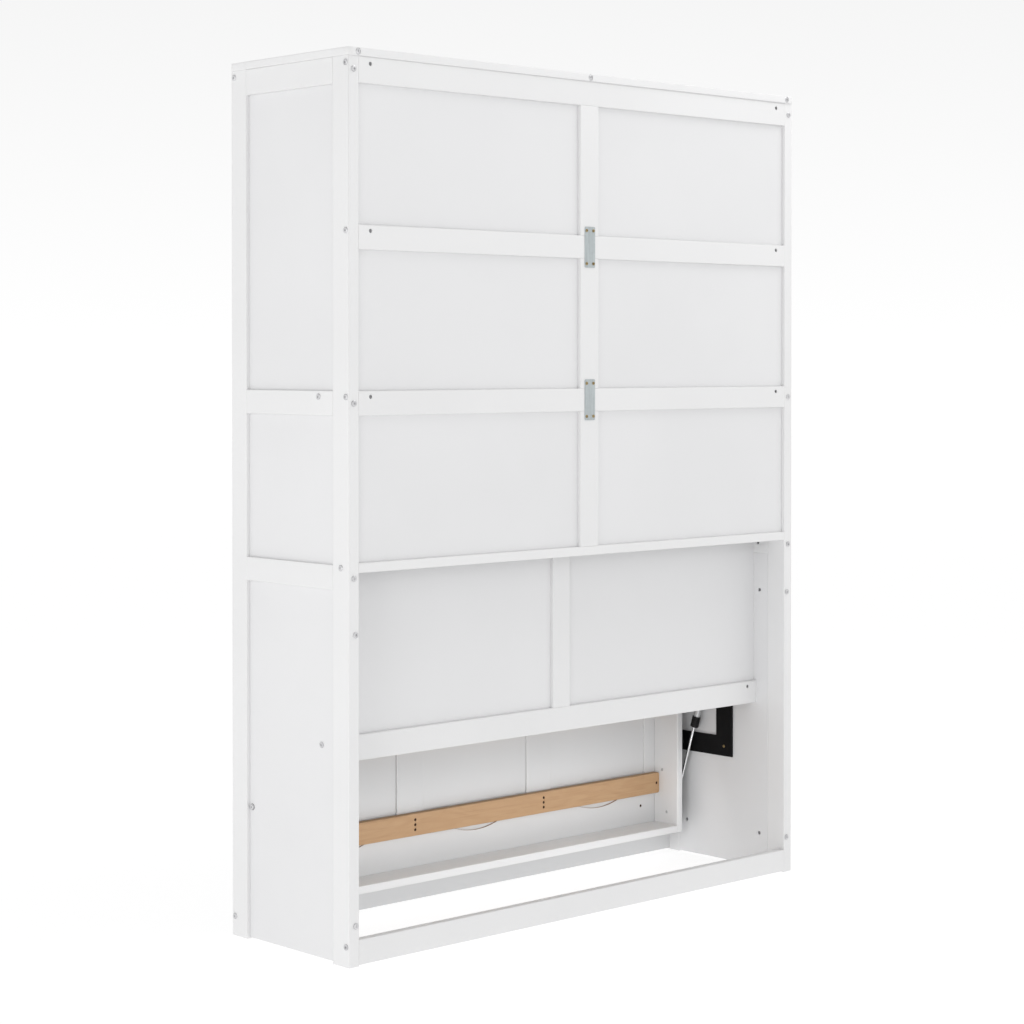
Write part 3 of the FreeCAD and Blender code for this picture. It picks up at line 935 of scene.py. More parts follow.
@dataclass(frozen=True, eq=False)
class BarrelNut:
    """A barrel nut of the CAD, by its solid."""

    solid: Solid
    radius: float

    def mouth(self, host: Solid) -> tuple[Vector, Vector]:
        """Where the nut goes into the solid that holds it.

        Args:
            host: The solid that holds the nut.

        Returns:
            The point of the host's face over the nut's axis, and the direction inward.
        """
        axis = self.solid.length_axis
        index = axis.value
        point = self.solid.centre
        if self.solid.low[index] - host.low[index] < host.high[index] - self.solid.high[index]:
            point[index] = host.low[index]
            return point, axis.unit
        point[index] = host.high[index]
        return point, -axis.unit

    def depth(self, host: Solid) -> float:
        """How deep the nut's blind end lies below the host's face.

        Args:
            host: The solid that holds the nut.

        Returns:
            The depth.
        """
        face, inward = self.mouth(host)
        ends = (self.solid.low - face, self.solid.high - face)
        return max(end.dot(inward) for end in ends)

    def held_by(self, solid: Solid) -> bool:
        """Whether the nut's middle lies in a solid's box."""
        centre = self.solid.centre
        return all(solid.low[index] < centre[index] < solid.high[index] for index in range(3))

    def cutter(self, host: Solid) -> Shape:
        """The blind bore that the nut sits in.

        Args:
            host: The solid that holds the nut.

        Returns:
            A closed cutter.
        """
        face, inward = self.mouth(host)
        bore = self.radius + CLOSE_FIT
        return turned((Ring(-OVERSHOOT, bore), Ring(self.depth(host), bore)), face, inward)


def read_fasteners(node: str, head_height: float, shank_radius: float, clearance: float) -> list[Fastener]:
    """Read the fasteners of a CAD node.

    Args:
        node: The node's name.
        head_height: The height of their heads.
        shank_radius: The radius of their shanks.
        clearance: How much wider than the shank its bore is.

    Returns:
        One fastener for each solid.
    """
    found = []
    for solid in solids_of(node):
        axis = solid.length_axis
        along = axis.unit
        offsets = [point - solid.centre for point in solid.points]
        reaches = [(offset - along * offset.dot(along)).length for offset in offsets]
        widest = max(reaches)
        rim_starts = 0.95 * widest
        rim = [offset.dot(along) for offset, reach in zip(offsets, reaches) if reach > rim_starts]
        if sum(rim) > 0:
            along = -along
        length = solid.size[axis.value]
        top = solid.centre - along * length / 2
        found.append(Fastener(top, along, length, widest, head_height, shank_radius, clearance))
    return found


@dataclass
class Joinery:
    """All the fasteners of the bed, for the boards and plates that they pass through."""

    bolts: list[Fastener] = field(default_factory=list)
    cabinet_screws: list[Fastener] = field(default_factory=list)
    bed_screws: list[Fastener] = field(default_factory=list)
    nuts: list[BarrelNut] = field(default_factory=list)
    bolt_head: float = 2.5 * MM
    bolt_shank: float = 3.0 * MM
    bolt_play: float = 0.5 * MM
    screw_head: float = 2.0 * MM
    screw_shank: float = 2.0 * MM
    nut_radius: float = 4.95 * MM
    nut_hosts: tuple[str, ...] = ("rail", "panel", "batten", "plinth")
    bush_bore: float = 8.1 * MM
    bush_overshoot: float = 5 * MM
    thickest_host: float = 100 * MM

    def read(self) -> None:
        """Read every fastener from the frame."""
        screw = (self.screw_head, self.screw_shank, CLOSE_FIT)
        self.bolts = read_fasteners("connector_bolts", self.bolt_head, self.bolt_shank, self.bolt_play)
        self.cabinet_screws = read_fasteners("cabinet_screws", *screw)
        self.bed_screws = read_fasteners("bed_screws", *screw)
        self.nuts = [BarrelNut(solid, self.nut_radius) for solid in solids_of("barrel_nuts")]

    def host_of(self, nut: BarrelNut) -> Solid:
        """The board that holds a barrel nut."""
        nodes = [node for node in frame["nodes"] if any(word in node for word in self.nut_hosts)]
        return next(solid for node in nodes for solid in solids_of(node) if nut.held_by(solid))

    def bored(self, shape: Shape, solid: Solid) -> Shape:
        """Cut every bore of a solid out of its shape."""
        return carved(shape, self.bores(solid))

    def bores(self, solid: Solid) -> list[list[Shape]]:
        """Make the cutters of every bore in a solid.

        Args:
            solid: A board or a plate.

        Returns:
            Groups of cutters that lie apart within each group.
        """
        nut_bores = [nut.cutter(solid) for nut in self.nuts if nut.held_by(solid)]
        fasteners = (*self.bolts, *self.cabinet_screws, *self.bed_screws)
        shank_bores = [item.cutter() for item in fasteners if item.passes(solid)]
        pivot_bores = []
        for bush in solids_of("pivot_bushes"):
            middle = bush.centre
            across = all(solid.low[index] < middle[index] < solid.high[index] for index in (1, 2))
            along_x = bush.low.x < solid.high.x and solid.low.x < bush.high.x
            if across and along_x and solid.size.x < self.thickest_host:
                end = bush.size.x + self.bush_overshoot
                rings = (Ring(-self.bush_overshoot, self.bush_bore), Ring(end, self.bush_bore))
                start = Vector((bush.low.x, middle.y, middle.z))
                pivot_bores.append(turned(rings, start, Axis.X.unit, 32))
        return [nut_bores, shank_bores, pivot_bores]


# Pieces


@dataclass
class Form:
    """A piece's mesh while it is put together, with what its finish reads at each point."""

    points: list[Vector] = field(default_factory=list)
    faces: list[list[int]] = field(default_factory=list)
    flow: list[Vector] = field(default_factory=list)
    marks: dict[str, list[float]] = field(default_factory=lambda: {"edge": [], "raw": []})

    def add(self, shape: Shape, turn: int = 0) -> None:
        """Take a shape over into the piece, and free it.

        Its grain runs along its longest side, and each shape of a piece has its own stretch of it.

        Args:
            shape: The shape.
            turn: The shape's number in the piece, which shifts its grain.
        """
        extents = [max(values) - min(values) for values in zip(*(vert.co for vert in shape.verts))]
        order = sorted(range(3), key=lambda index: -extents[index])
        shift = Vector([step * turn for step in GRAIN_SHIFT])
        first = len(self.points)
        layers = {name: shape.verts.layers.float.get(name) for name in self.marks}
        shape.verts.index_update()
        for vert in shape.verts:
            self.points.append(vert.co.copy())
            self.flow.append(Vector([vert.co[index] for index in order]) + shift)
            for name, layer in layers.items():
                self.marks[name].append(vert[layer] if layer else 0.0)
        for face in shape.faces:
            self.faces.append([first + vert.index for vert in face.verts])
        shape.free()

    def piece(self, name: str, finish: Finish, node: str, slot: str | None = None) -> Piece:
        """Make the piece, give it its finish and set it on its body.

        Args:
            name: The piece's name.
            finish: Its finish.
            node: The CAD node that it stands for.
            slot: The record's material slot, where it isn't the node's own. It is not used.

        Returns:
            The new object.
        """
        mesh = bpy.data.meshes.new(name)
        mesh.from_pydata(self.points, [], self.faces)
        for polygon in mesh.polygons:
            polygon.use_smooth = True
        mesh.set_sharp_from_angle(angle=SHARP_ANGLE)
        flow = mesh.attributes.new("flow", "FLOAT_VECTOR", "POINT")
        flow.data.foreach_set("vector", [value for place in self.flow for value in place])
        for mark, values in self.marks.items():
            mesh.attributes.new(mark, "FLOAT", "POINT").data.foreach_set("value", values)
        mesh.materials.append(finish.material())
        made = bpy.data.objects.new(name, mesh)
        bpy.context.scene.collection.objects.link(made)
        body = body_of(node)
        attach(made, body)
        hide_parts(node)
        slot or slot_of(node)
        log.info("%s: %d faces, %s, on %s", name, len(mesh.polygons), finish.name, body)
        return made


def piece_of(
    shapes: Iterable[Shape], name: str, finish: Finish, node: str, slot: str | None = None
) -> Piece:
    """Make one piece from a row of shapes, each with its own stretch of grain.

    Args:
        shapes: The shapes, which are freed.
        name: The piece's name.
        finish: Its finish.
        node: The CAD node that it stands for.
        slot: The record's material slot, where it isn't the node's own.

    Returns:
        The new object.
    """
    form = Form()
    for turn, shape in enumerate(shapes):
        form.add(shape, turn)
    return form.piece(name, finish, node, slot)


@dataclass
class BoardWork:
    """Boards of some CAD nodes, shaped and bored alike."""

    joinery: Joinery
    arris: float = 1.6 * MM
    end_arris: float = 0.3 * MM
    finish: Finish = WHITE_PAINT

    def make(self, node: str, arris: float | None = None, finish: Finish | None = None) -> Piece:
        """Build and dress the boards of one node.

        Args:
            node: The node's name.
            arris: The rounding along its boards, where it isn't the set's own.
            finish: Their finish, where it isn't the set's own.

        Returns:
            One piece with all the node's boards.
        """
        radius = arris or self.arris
        solids = solids_of(node)
        shapes = (self.joinery.bored(board(solid, radius, self.end_arris), solid) for solid in solids)
        return piece_of(shapes, node + "_dressed", finish or self.finish, node)


@dataclass
class PlateWork:
    """Flat pieces of a CAD node, with rounded corners, cut and bored alike."""

    joinery: Joinery
    axis: Axis
    corner: float
    rim: float
    border: float
    corner_steps: int = 6

    def shape(self, solid: Solid) -> Shape:
        """Cut and bore one flat piece, drawn along the axis across it.

        Args:
            solid: The piece's solid in the CAD.

        Returns:
            A closed shape.
        """
        low, high = self.axis.across(solid.low), self.axis.across(solid.high)
        outline = rectangle(low, high, self.corner, self.corner_steps)
        whole = prism(outline, self.axis, solid.span(self.axis), self.rim, end_border=self.border)
        return self.joinery.bored(whole, solid)

    def make(self, node: str, finish: Finish) -> Piece:
        """Build and dress the flat pieces of one node."""
        return piece_of(map(self.shape, solids_of(node)), node + "_dressed", finish, node)


@dataclass
class SideFrame:
    """One side of the cabinet: two uprights, three rails and three panels."""

    joinery: Joinery
    side: Side
    upright_arris: float = 1.2 * MM
    rail_arris: float = 1.4 * MM
    panel_arris: float = 0.4 * MM

    def build(self) -> None:
        """Build and dress the side's boards."""
        work = BoardWork(self.joinery)
        for upright in ("rear_post", "front_stile"):
            work.make(f"{upright}_{self.side.value}", self.upright_arris)
        for rail in ("side_top_rail", "side_middle_rail", "side_lower_rail"):
            work.make(f"{rail}_{self.side.value}", self.rail_arris)
        for panel in ("side_upper_panel", "side_middle_panel", "side_lower_panel"):
            work.make(f"{panel}_{self.side.value}", self.panel_arris, PANEL_PAINT)


@dataclass
class CrossFrames:
    """The back, the headboard and the rails at the floor and over the bed's face."""

    joinery: Joinery
    rail_arris: float = 1.6 * MM
    panel_arris: float = 0.4 * MM

    def build(self) -> None:
        """Build and dress the boards between the sides."""
        work = BoardWork(self.joinery, self.rail_arris)
        rails = (
            "back_top_rail", "back_middle_rails", "back_batten", "back_centre_stiles", "headboard_rails",
            "headboard_centre_stile", "rear_foot_rail", "front_top_rail",
        )
        for node in rails:
            work.make(node)
        # The plinth takes the face's darker paint, which paints in the shade that falls on it inside the cabinet.
        work.make("front_plinth", finish=FACE_PAINT_WITH_PAINTED_SHADE)
        for node in ("back_panels", "headboard_panels"):
            work.make(node, self.panel_arris, PANEL_PAINT)


@dataclass
class TopFrame:
    """The top: two strips with rounded corners, three strips between them and two panels."""

    joinery: Joinery
    corner_radius: float = 14 * MM
    corner_steps: int = 8
    rim: float = 1.8 * MM
    strip_arris: float = 1.6 * MM
    panel_arris: float = 0.4 * MM

    def build(self) -> None:
        """Build and dress the top."""
        for node in ("top_rear_rail", "top_front_rail"):
            self.strip(node)
        work = BoardWork(self.joinery, self.strip_arris)
        work.make("top_cross_rails")
        work.make("top_panels", self.panel_arris)

    def strip(self, node: str) -> Piece:
        """Build a front or rear strip, with the corners of the top rounded in plan.

        Args:
            node: The strip's CAD node.

        Returns:
            The new piece.
        """
        solid = solids_of(node)[0]
        low, high = solid.low, solid.high
        rear = node == "top_rear_rail"
        front_radius = 0.0 if rear else self.corner_radius
        rear_radius = self.corner_radius if rear else 0.0
        corners = (
            (low.x, low.y, front_radius), (high.x, low.y, front_radius),
            (high.x, high.y, rear_radius), (low.x, high.y, rear_radius),
        )
        outline = rounded_outline(corners, self.corner_steps)
        shape = prism(outline, Axis.Z, solid.span(Axis.Z), self.rim, BORDER, BORDER)
        return piece_of([self.joinery.bored(shape, solid)], node + "_dressed", WHITE_PAINT, node)


@dataclass
class BedFace:
    """The framed face of the bed, with scoops in its bottom board."""

    joinery: Joinery
    arris: float = 1.6 * MM
    panel_arris: float = 0.4 * MM
    scoop_radius: float = 235 * MM
    scoop_depth: float = 47 * MM
    scoop_steps: int = 28
    board_rim: float = 0.8 * MM
    sawn_depth: float = 0.5 * MM

    def build(self) -> None:
        """Build and dress the face."""
        # The face's darker paint is partly primed board and partly painted shade of the cabinet's inside.
        work = BoardWork(self.joinery, self.arris, finish=FACE_PAINT_WITH_PAINTED_SHADE)
        work.make("face_stiles")
        work.make("face_rails")
        self.bottom_board()
        self.panels()

    @property
    def board_top(self) -> float:
        """The height of the bottom board's upper edge."""
        return solids_of("face_bottom_board")[0].high.z

    @property
    def hub_height(self) -> float:
        """The height of the scoops' centres."""
        return self.board_top - self.scoop_depth + self.scoop_radius

    def scoop(self, centre: float) -> list[Flat]:
        """The arc of one scoop, from its right end to its left.

        Args:
            centre: The middle of the scoop across the bed.

        Returns:
            The arc's points.
        """
        half_turn = math.acos(1 - self.scoop_depth / self.scoop_radius)
        points = []
        for step in range(self.scoop_steps + 1):
            turn = half_turn * (1 - 2 * step / self.scoop_steps)
            across = self.scoop_radius * math.sin(turn)
            down = self.scoop_radius * math.cos(turn)
            points.append((centre + across, self.hub_height - down))
        return points

    def bays(self) -> list[Solid]:
        """The panels over the bottom board, from left to right.

        Returns:
            Their solids.
        """
        panels = solids_of("face_panels")
        lowest = min(panel.low.z for panel in panels)
        return [panel for panel in panels if panel.low.z < lowest + MM]

    def bottom_board(self) -> Piece:
        """Build the bottom board, with a bare sawn edge in each scoop.

        Returns:
            The new piece.
        """
        solid = solids_of("face_bottom_board")[0]
        low, high = solid.low, solid.high
        outline = [(low.x, low.z), (high.x, low.z), (high.x, high.z)]
        for bay in reversed(self.bays()):
            outline.extend(self.scoop(bay.centre.x))
        outline.append((low.x, high.z))
        shape = prism(outline, Axis.Y, solid.span(Axis.Y), self.board_rim, end_border=BORDER)
        raw = shape.verts.layers.float.new("raw")
        for vert in shape.verts:
            for bay in self.bays():
                reach = math.hypot(vert.co.x - bay.centre.x, vert.co.z - self.hub_height)
                if abs(reach - self.scoop_radius) < self.sawn_depth:
                    vert[raw] = 1.0
        shapes = [self.joinery.bored(shape, solid)]
        return piece_of(shapes, "face_bottom_board_dressed", FACE_PAINT_WITH_PAINTED_SHADE, "face_bottom_board")

    def panels(self) -> Piece:
        """Build the panels, with a tongue into each scoop.

        Returns:
            The new piece.
        """
        shapes = []
        bays = self.bays()
        top = self.board_top
        for solid in solids_of("face_panels"):
            low, high = solid.low, solid.high
            if solid in bays:
                outline = [(high.x, top), (high.x, high.z), (low.x, high.z), (low.x, top)]
                outline.extend(reversed(self.scoop(solid.centre.x)))
                shape = prism(outline, Axis.Y, solid.span(Axis.Y), self.panel_arris, end_border=BORDER)
            else:
                shape = board(solid, self.panel_arris, self.panel_arris)
            shapes.append(shape)
        return piece_of(shapes, "face_panels_dressed", FACE_PAINT_WITH_PAINTED_SHADE, "face_panels")


@dataclass
class BedTray:
    """The rails behind the face and the slats across it."""

    joinery: Joinery
    rail_arris: float = 1.6 * MM
    slat_arris: float = 2.0 * MM
    slat_corner: float = 5.0 * MM
    slat_border: float = 2 * MM
    corner_steps: int = 5

    def build(self) -> None:
        """Build and dress the tray."""
        work = BoardWork(self.joinery, self.rail_arris)
        for node in ("bed_side_rail_right", "bed_side_rail_left", "bed_head_rail", "bed_foot_rail"):
            work.make(node)
        slats = PlateWork(
            self.joinery, Axis.Y, self.slat_corner, self.slat_arris, self.slat_border, self.corner_steps
        )
        slats.make("bed_slats", PINE)


@dataclass
class Hardware:
    """Connector bolts, barrel nuts, screws and joining plates."""

    joinery: Joinery
    socket_radius: float = 2.8 * MM
    socket_depth: float = 1.8 * MM
    nut_recess: float = 2.4 * MM
    nut_chamfer: float = 0.5 * MM
    slot_width: float = 1.5 * MM
    slot_depth: float = 2.2 * MM
    slot_length: float = 14 * MM
    plate_corner: float = 3.5 * MM
    plate_rim: float = 0.35 * MM
    plate_border: float = 1.5 * MM

    def build(self) -> None:
        """Build and dress the fasteners and the joining plates."""
        joinery = self.joinery
        on_plates = [item for item in joinery.bed_screws if item.along.x * item.top.x > 0]
        others = [item for item in joinery.bed_screws if item not in on_plates]
        piece_of(map(self.bolt, joinery.bolts), "connector_bolts_dressed", NICKEL, "connector_bolts")
        # The nuts' dark steel paints in the shade of their bores.
        piece_of(map(self.nut, joinery.nuts), "barrel_nuts_dressed", NUT_STEEL_WITH_PAINTED_SHADE, "barrel_nuts")
        piece_of(map(self.screw, joinery.cabinet_screws), "cabinet_screws_dressed", BRASS, "cabinet_screws")
        piece_of(map(self.screw, others), "bed_screws_dressed", OXIDE, "bed_screws")
        piece_of(map(self.screw, on_plates), "pivot_plate_screws_dressed", NICKEL, "bed_screws")
        plates = PlateWork(joinery, Axis.Y, self.plate_corner, self.plate_rim, self.plate_border)
        plates.make("joining_plates", ZINC)

    def bolt(self, bolt: Fastener) -> Shape:
        """Turn a connector bolt: a low round head with a hex socket, and a plain shank.

        Args:
            bolt: The bolt as the CAD has it.

        Returns:
            A closed shape.
        """
        head, shank = bolt.head_radius, bolt.shank_radius
        rings = (
            Ring(self.socket_depth, self.socket_radius, Outline.HEX),
            Ring(0.2 * MM, self.socket_radius, Outline.HEX),
            Ring(0.0, self.socket_radius + 0.3 * MM),
            Ring(0.0, head - 1.9 * MM),
            Ring(0.3 * MM, head - 0.8 * MM),
            Ring(0.9 * MM, head - 0.1 * MM),
            Ring(1.5 * MM, head),
            Ring(bolt.head_height, head - 0.1 * MM),
            Ring(bolt.head_height, shank),
            Ring(bolt.length - 1.0 * MM, shank),
            Ring(bolt.length, shank - 0.8 * MM),
        )
        return turned(rings, bolt.top, bolt.along)

    def nut(self, nut: BarrelNut) -> Shape:
        """Turn a barrel nut, bored for its bolt, with a driver slot in the end that shows.

        Args:
            nut: The nut as the CAD has it.

        Returns:
            A closed shape.
        """
        host = self.joinery.host_of(nut)
        face, inward = nut.mouth(host)
        depth = nut.depth(host)
        end_radius = nut.radius - self.nut_chamfer
        rings = (
            Ring(self.nut_recess, end_radius),
            Ring(self.nut_recess + self.nut_chamfer, nut.radius),
            Ring(depth - self.nut_chamfer, nut.radius),
            Ring(depth, end_radius),
        )
        bores = [bolt.cutter() for bolt in self.joinery.bolts if bolt.passes(nut.solid)]
        return carved(turned(rings, face, inward), [[self.slot_cutter(face, inward)], bores])

    def slot_cutter(self, face: Vector, inward: Vector) -> Shape:
        """The shape of a driver slot across a nut's end.

        Args:
            face: The point of the host's face over the nut's axis.
            inward: The direction from there into the host.

        Returns:
            A closed cutter.
        """
        along = inward.orthogonal().normalized()
        across = inward.cross(along)
        cutter = bmesh.new()
        bmesh.ops.create_cube(cutter, size=1.0)
        depth = self.nut_recess + self.slot_depth
        middle = face + inward * depth / 2
        for vert in cutter.verts:
            x, y, z = vert.co
            long_way = along * x * self.slot_length
            vert.co = middle + long_way + across * y * self.slot_width + inward * z * depth
        bmesh.ops.recalc_face_normals(cutter, faces=cutter.faces)
        return cutter

    @staticmethod
    def screw(screw: Fastener) -> Shape:
        """Turn a pan-head screw with a cross recess.

        Args:
            screw: The screw as the CAD has it.

        Returns:
            A closed shape.
        """
        head, shank = screw.head_radius, screw.shank_radius
        rings = (
            Ring(1.3 * MM, 0.8 * MM, Outline.CROSS),
            Ring(0.15 * MM, 2.1 * MM, Outline.CROSS),
            Ring(0.0, 2.3 * MM),
            Ring(0.2 * MM, head - 0.9 * MM),
            Ring(0.7 * MM, head - 0.2 * MM),
            Ring(1.3 * MM, head),
            Ring(screw.head_height, head),
            Ring(screw.head_height, shank),
            Ring(screw.length - 4.0 * MM, shank),
            Ring(screw.length, 0.3 * MM),
        )
        return turned(rings, screw.top, screw.along)


@dataclass
class WallBracket:
    """The flat steel bracket of one side: a tall rear leg and an arm that ends round the pivot."""

    joinery: Joinery
    side: Side
    arm_height: float = 56 * MM
    leg_width: float = 60 * MM
    corner: float = 2.0 * MM
    inner_corner: float = 1.2 * MM
    nose_steps: int = 24
    rim: float = 0.5 * MM
    border: float = 0.9 * MM

    def build(self) -> Piece:
        """Cut and dress the side's bracket.

        Returns:
            The new piece.
        """
        node = "wall_bracket_" + self.side.value
        solid = solids_of(node)[0]
        low, high = solid.low, solid.high
        half_arm = self.arm_height / 2
        pivot = Vector(joint_named("bed_fold")["pos_m"])
        leg_front = high.y - self.leg_width
        corners = [
            (high.y, low.z, self.corner), (high.y, high.z, self.corner), (leg_front, high.z, self.corner),
            (leg_front, pivot.z + half_arm, self.inner_corner),
        ]
        for step in range(self.nose_steps + 1):
            turn = math.pi / 2 + math.pi * step / self.nose_steps
            corners.append((pivot.y + half_arm * math.cos(turn), pivot.z + half_arm * math.sin(turn), 0.0))
        outline = rounded_outline(corners)
        shape = prism(outline, Axis.X, solid.span(Axis.X), self.rim, end_border=self.border)
        return piece_of([self.joinery.bored(shape, solid)], node + "_dressed", POWDER_COAT, node)


@dataclass
class PivotParts:
    """The pivot plates, pins and bushes of both sides."""

    joinery: Joinery
    plate_corner: float = 8.0 * MM
    plate_rim: float = 0.5 * MM
    plate_border: float = 3 * MM
    flange_radius: float = 16 * MM
    flange_thickness: float = 4 * MM
    pin_radius: float = 6 * MM
    cap_radius: float = 7.5 * MM
    socket_radius: float = 2.8 * MM
    socket_depth: float = 1.8 * MM
    bush_flange: float = 3 * MM
    bush_flange_radius: float = 14 * MM
    bush_outer: float = 8.05 * MM
    bush_bore: float = 6.05 * MM
    longest_cap: float = 10 * MM
    chamfer: float = 0.8 * MM
    bush_chamfer: float = 0.6 * MM

    def build(self) -> None:
        """Build and dress the pivots."""
        plates = PlateWork(self.joinery, Axis.X, self.plate_corner, self.plate_rim, self.plate_border)
        plates.make("bed_pivot_plates", POWDER_COAT)
        piece_of(map(self.pin, solids_of("pivot_pins")), "pivot_pins_dressed", NICKEL, "pivot_pins")
        piece_of(map(self.bush, solids_of("pivot_bushes")), "pivot_bushes_dressed", NYLON, "pivot_bushes")

    @staticmethod
    def outward_from(solid: Solid) -> tuple[Vector, Vector]:
        """The inner end of a solid's axis across the bed, and the way outward.

        Args:
            solid: A solid of one side.

        Returns:
            The point and the direction.
        """
        sign = 1 if solid.centre.x > 0 else -1
        inner = min(abs(solid.low.x), abs(solid.high.x))
        return Vector((sign * inner, solid.centre.y, solid.centre.z)), Vector((sign, 0, 0))

    def pin(self, solid: Solid) -> Shape:
        """Turn a pin with its flange, or a cap on the cabinet's outer face, which is shorter.

        Args:
            solid: The pin's or the cap's solid in the CAD.

        Returns:
            A closed shape.
        """
        start, outward = self.outward_from(solid)
        is_cap = solid.size.x <= self.longest_cap
        rings = self.cap_rings(solid.size.x) if is_cap else self.pin_rings(solid.size.x)
        return turned(rings, start, outward, 36)

    def pin_rings(self, length: float) -> tuple[Ring, ...]:
        """The profile of a pin of a given length, from its flange outward."""
        return (
            Ring(0.0, self.flange_radius),
            Ring(self.flange_thickness - self.chamfer, self.flange_radius),
            Ring(self.flange_thickness, self.flange_radius - self.chamfer),
            Ring(self.flange_thickness, self.pin_radius),
            Ring(length - self.chamfer, self.pin_radius),
            Ring(length, self.pin_radius - self.chamfer),
        )

    def cap_rings(self, length: float) -> tuple[Ring, ...]:
        """The profile of a cap of a given length, down into its hex socket."""
        return (
            Ring(0.0, self.cap_radius),
            Ring(length - 1.4 * MM, self.cap_radius),
            Ring(length - 0.5 * MM, self.cap_radius - 0.5 * MM),
            Ring(length, self.cap_radius - 1.6 * MM),
            Ring(length, self.socket_radius + 0.3 * MM),
            Ring(length - 0.2 * MM, self.socket_radius, Outline.HEX),
            Ring(length - self.socket_depth, self.socket_radius, Outline.HEX),
        )

    def bush(self, solid: Solid) -> Shape:
        """Turn a flanged bush.

        Args:
            solid: The bush's solid in the CAD.

        Returns:
            A closed shape.
        """
        start, outward = self.outward_from(solid)
        length = solid.size.x
        rings = (
            Ring(0.0, self.bush_bore),
            Ring(0.0, self.bush_flange_radius - self.bush_chamfer),
            Ring(self.bush_chamfer, self.bush_flange_radius),
            Ring(self.bush_flange, self.bush_flange_radius),
            Ring(self.bush_flange, self.bush_outer),
            Ring(length, self.bush_outer),
            Ring(length, self.bush_bore),
        )
        return turned(rings, start, outward, 36, hollow=True)


@dataclass
class StrutStud:
    """A stud that holds a strut's eye: a collar, a pin through the eye and a domed cap."""

    wide: float = 7 * MM
    pin: float = 4 * MM
    collar: float = 12.7 * MM
    cap: float = 2.5 * MM
    chamfer: float = 0.5 * MM

    def shape(self, start: Vector, way: Vector, length: float) -> Shape:
        """Turn a stud.

        Args:
            start: The middle of the face that the collar stands on.
            way: The stud's direction.
            length: The stud's whole length.

        Returns:
            A closed shape.
        """
        rings = (
            Ring(0.0, self.wide),
            Ring(self.collar - self.chamfer, self.wide),
            Ring(self.collar, self.wide - self.chamfer),
            Ring(self.collar, self.pin),
            Ring(length - self.cap, self.pin),
            Ring(length - self.cap, self.wide),
            Ring(length - 1.2 * MM, self.wide),
            Ring(length - 0.4 * MM, self.wide - 1.2 * MM),
            Ring(length, self.wide - 3 * MM),
        )
        return turned(rings, start, way, 28)

    def on_bracket(self, solid: Solid) -> Shape:
        """Turn the stud that stands inward from a bracket.

        Args:
            solid: The stud's solid in the CAD.

        Returns:
            A closed shape.
        """
        sign = 1 if solid.centre.x > 0 else -1
        outer = max(abs(solid.low.x), abs(solid.high.x))
        start = Vector((sign * outer, solid.centre.y, solid.centre.z))
        return self.shape(start, Vector((-sign, 0, 0)), solid.size.x)

    def build(self) -> None:
        """Build and dress the studs on the brackets, which hold the upper eyes."""
        shapes = map(self.on_bracket, solids_of("strut_studs"))
        piece_of(shapes, "strut_studs_dressed", NICKEL, "strut_studs")


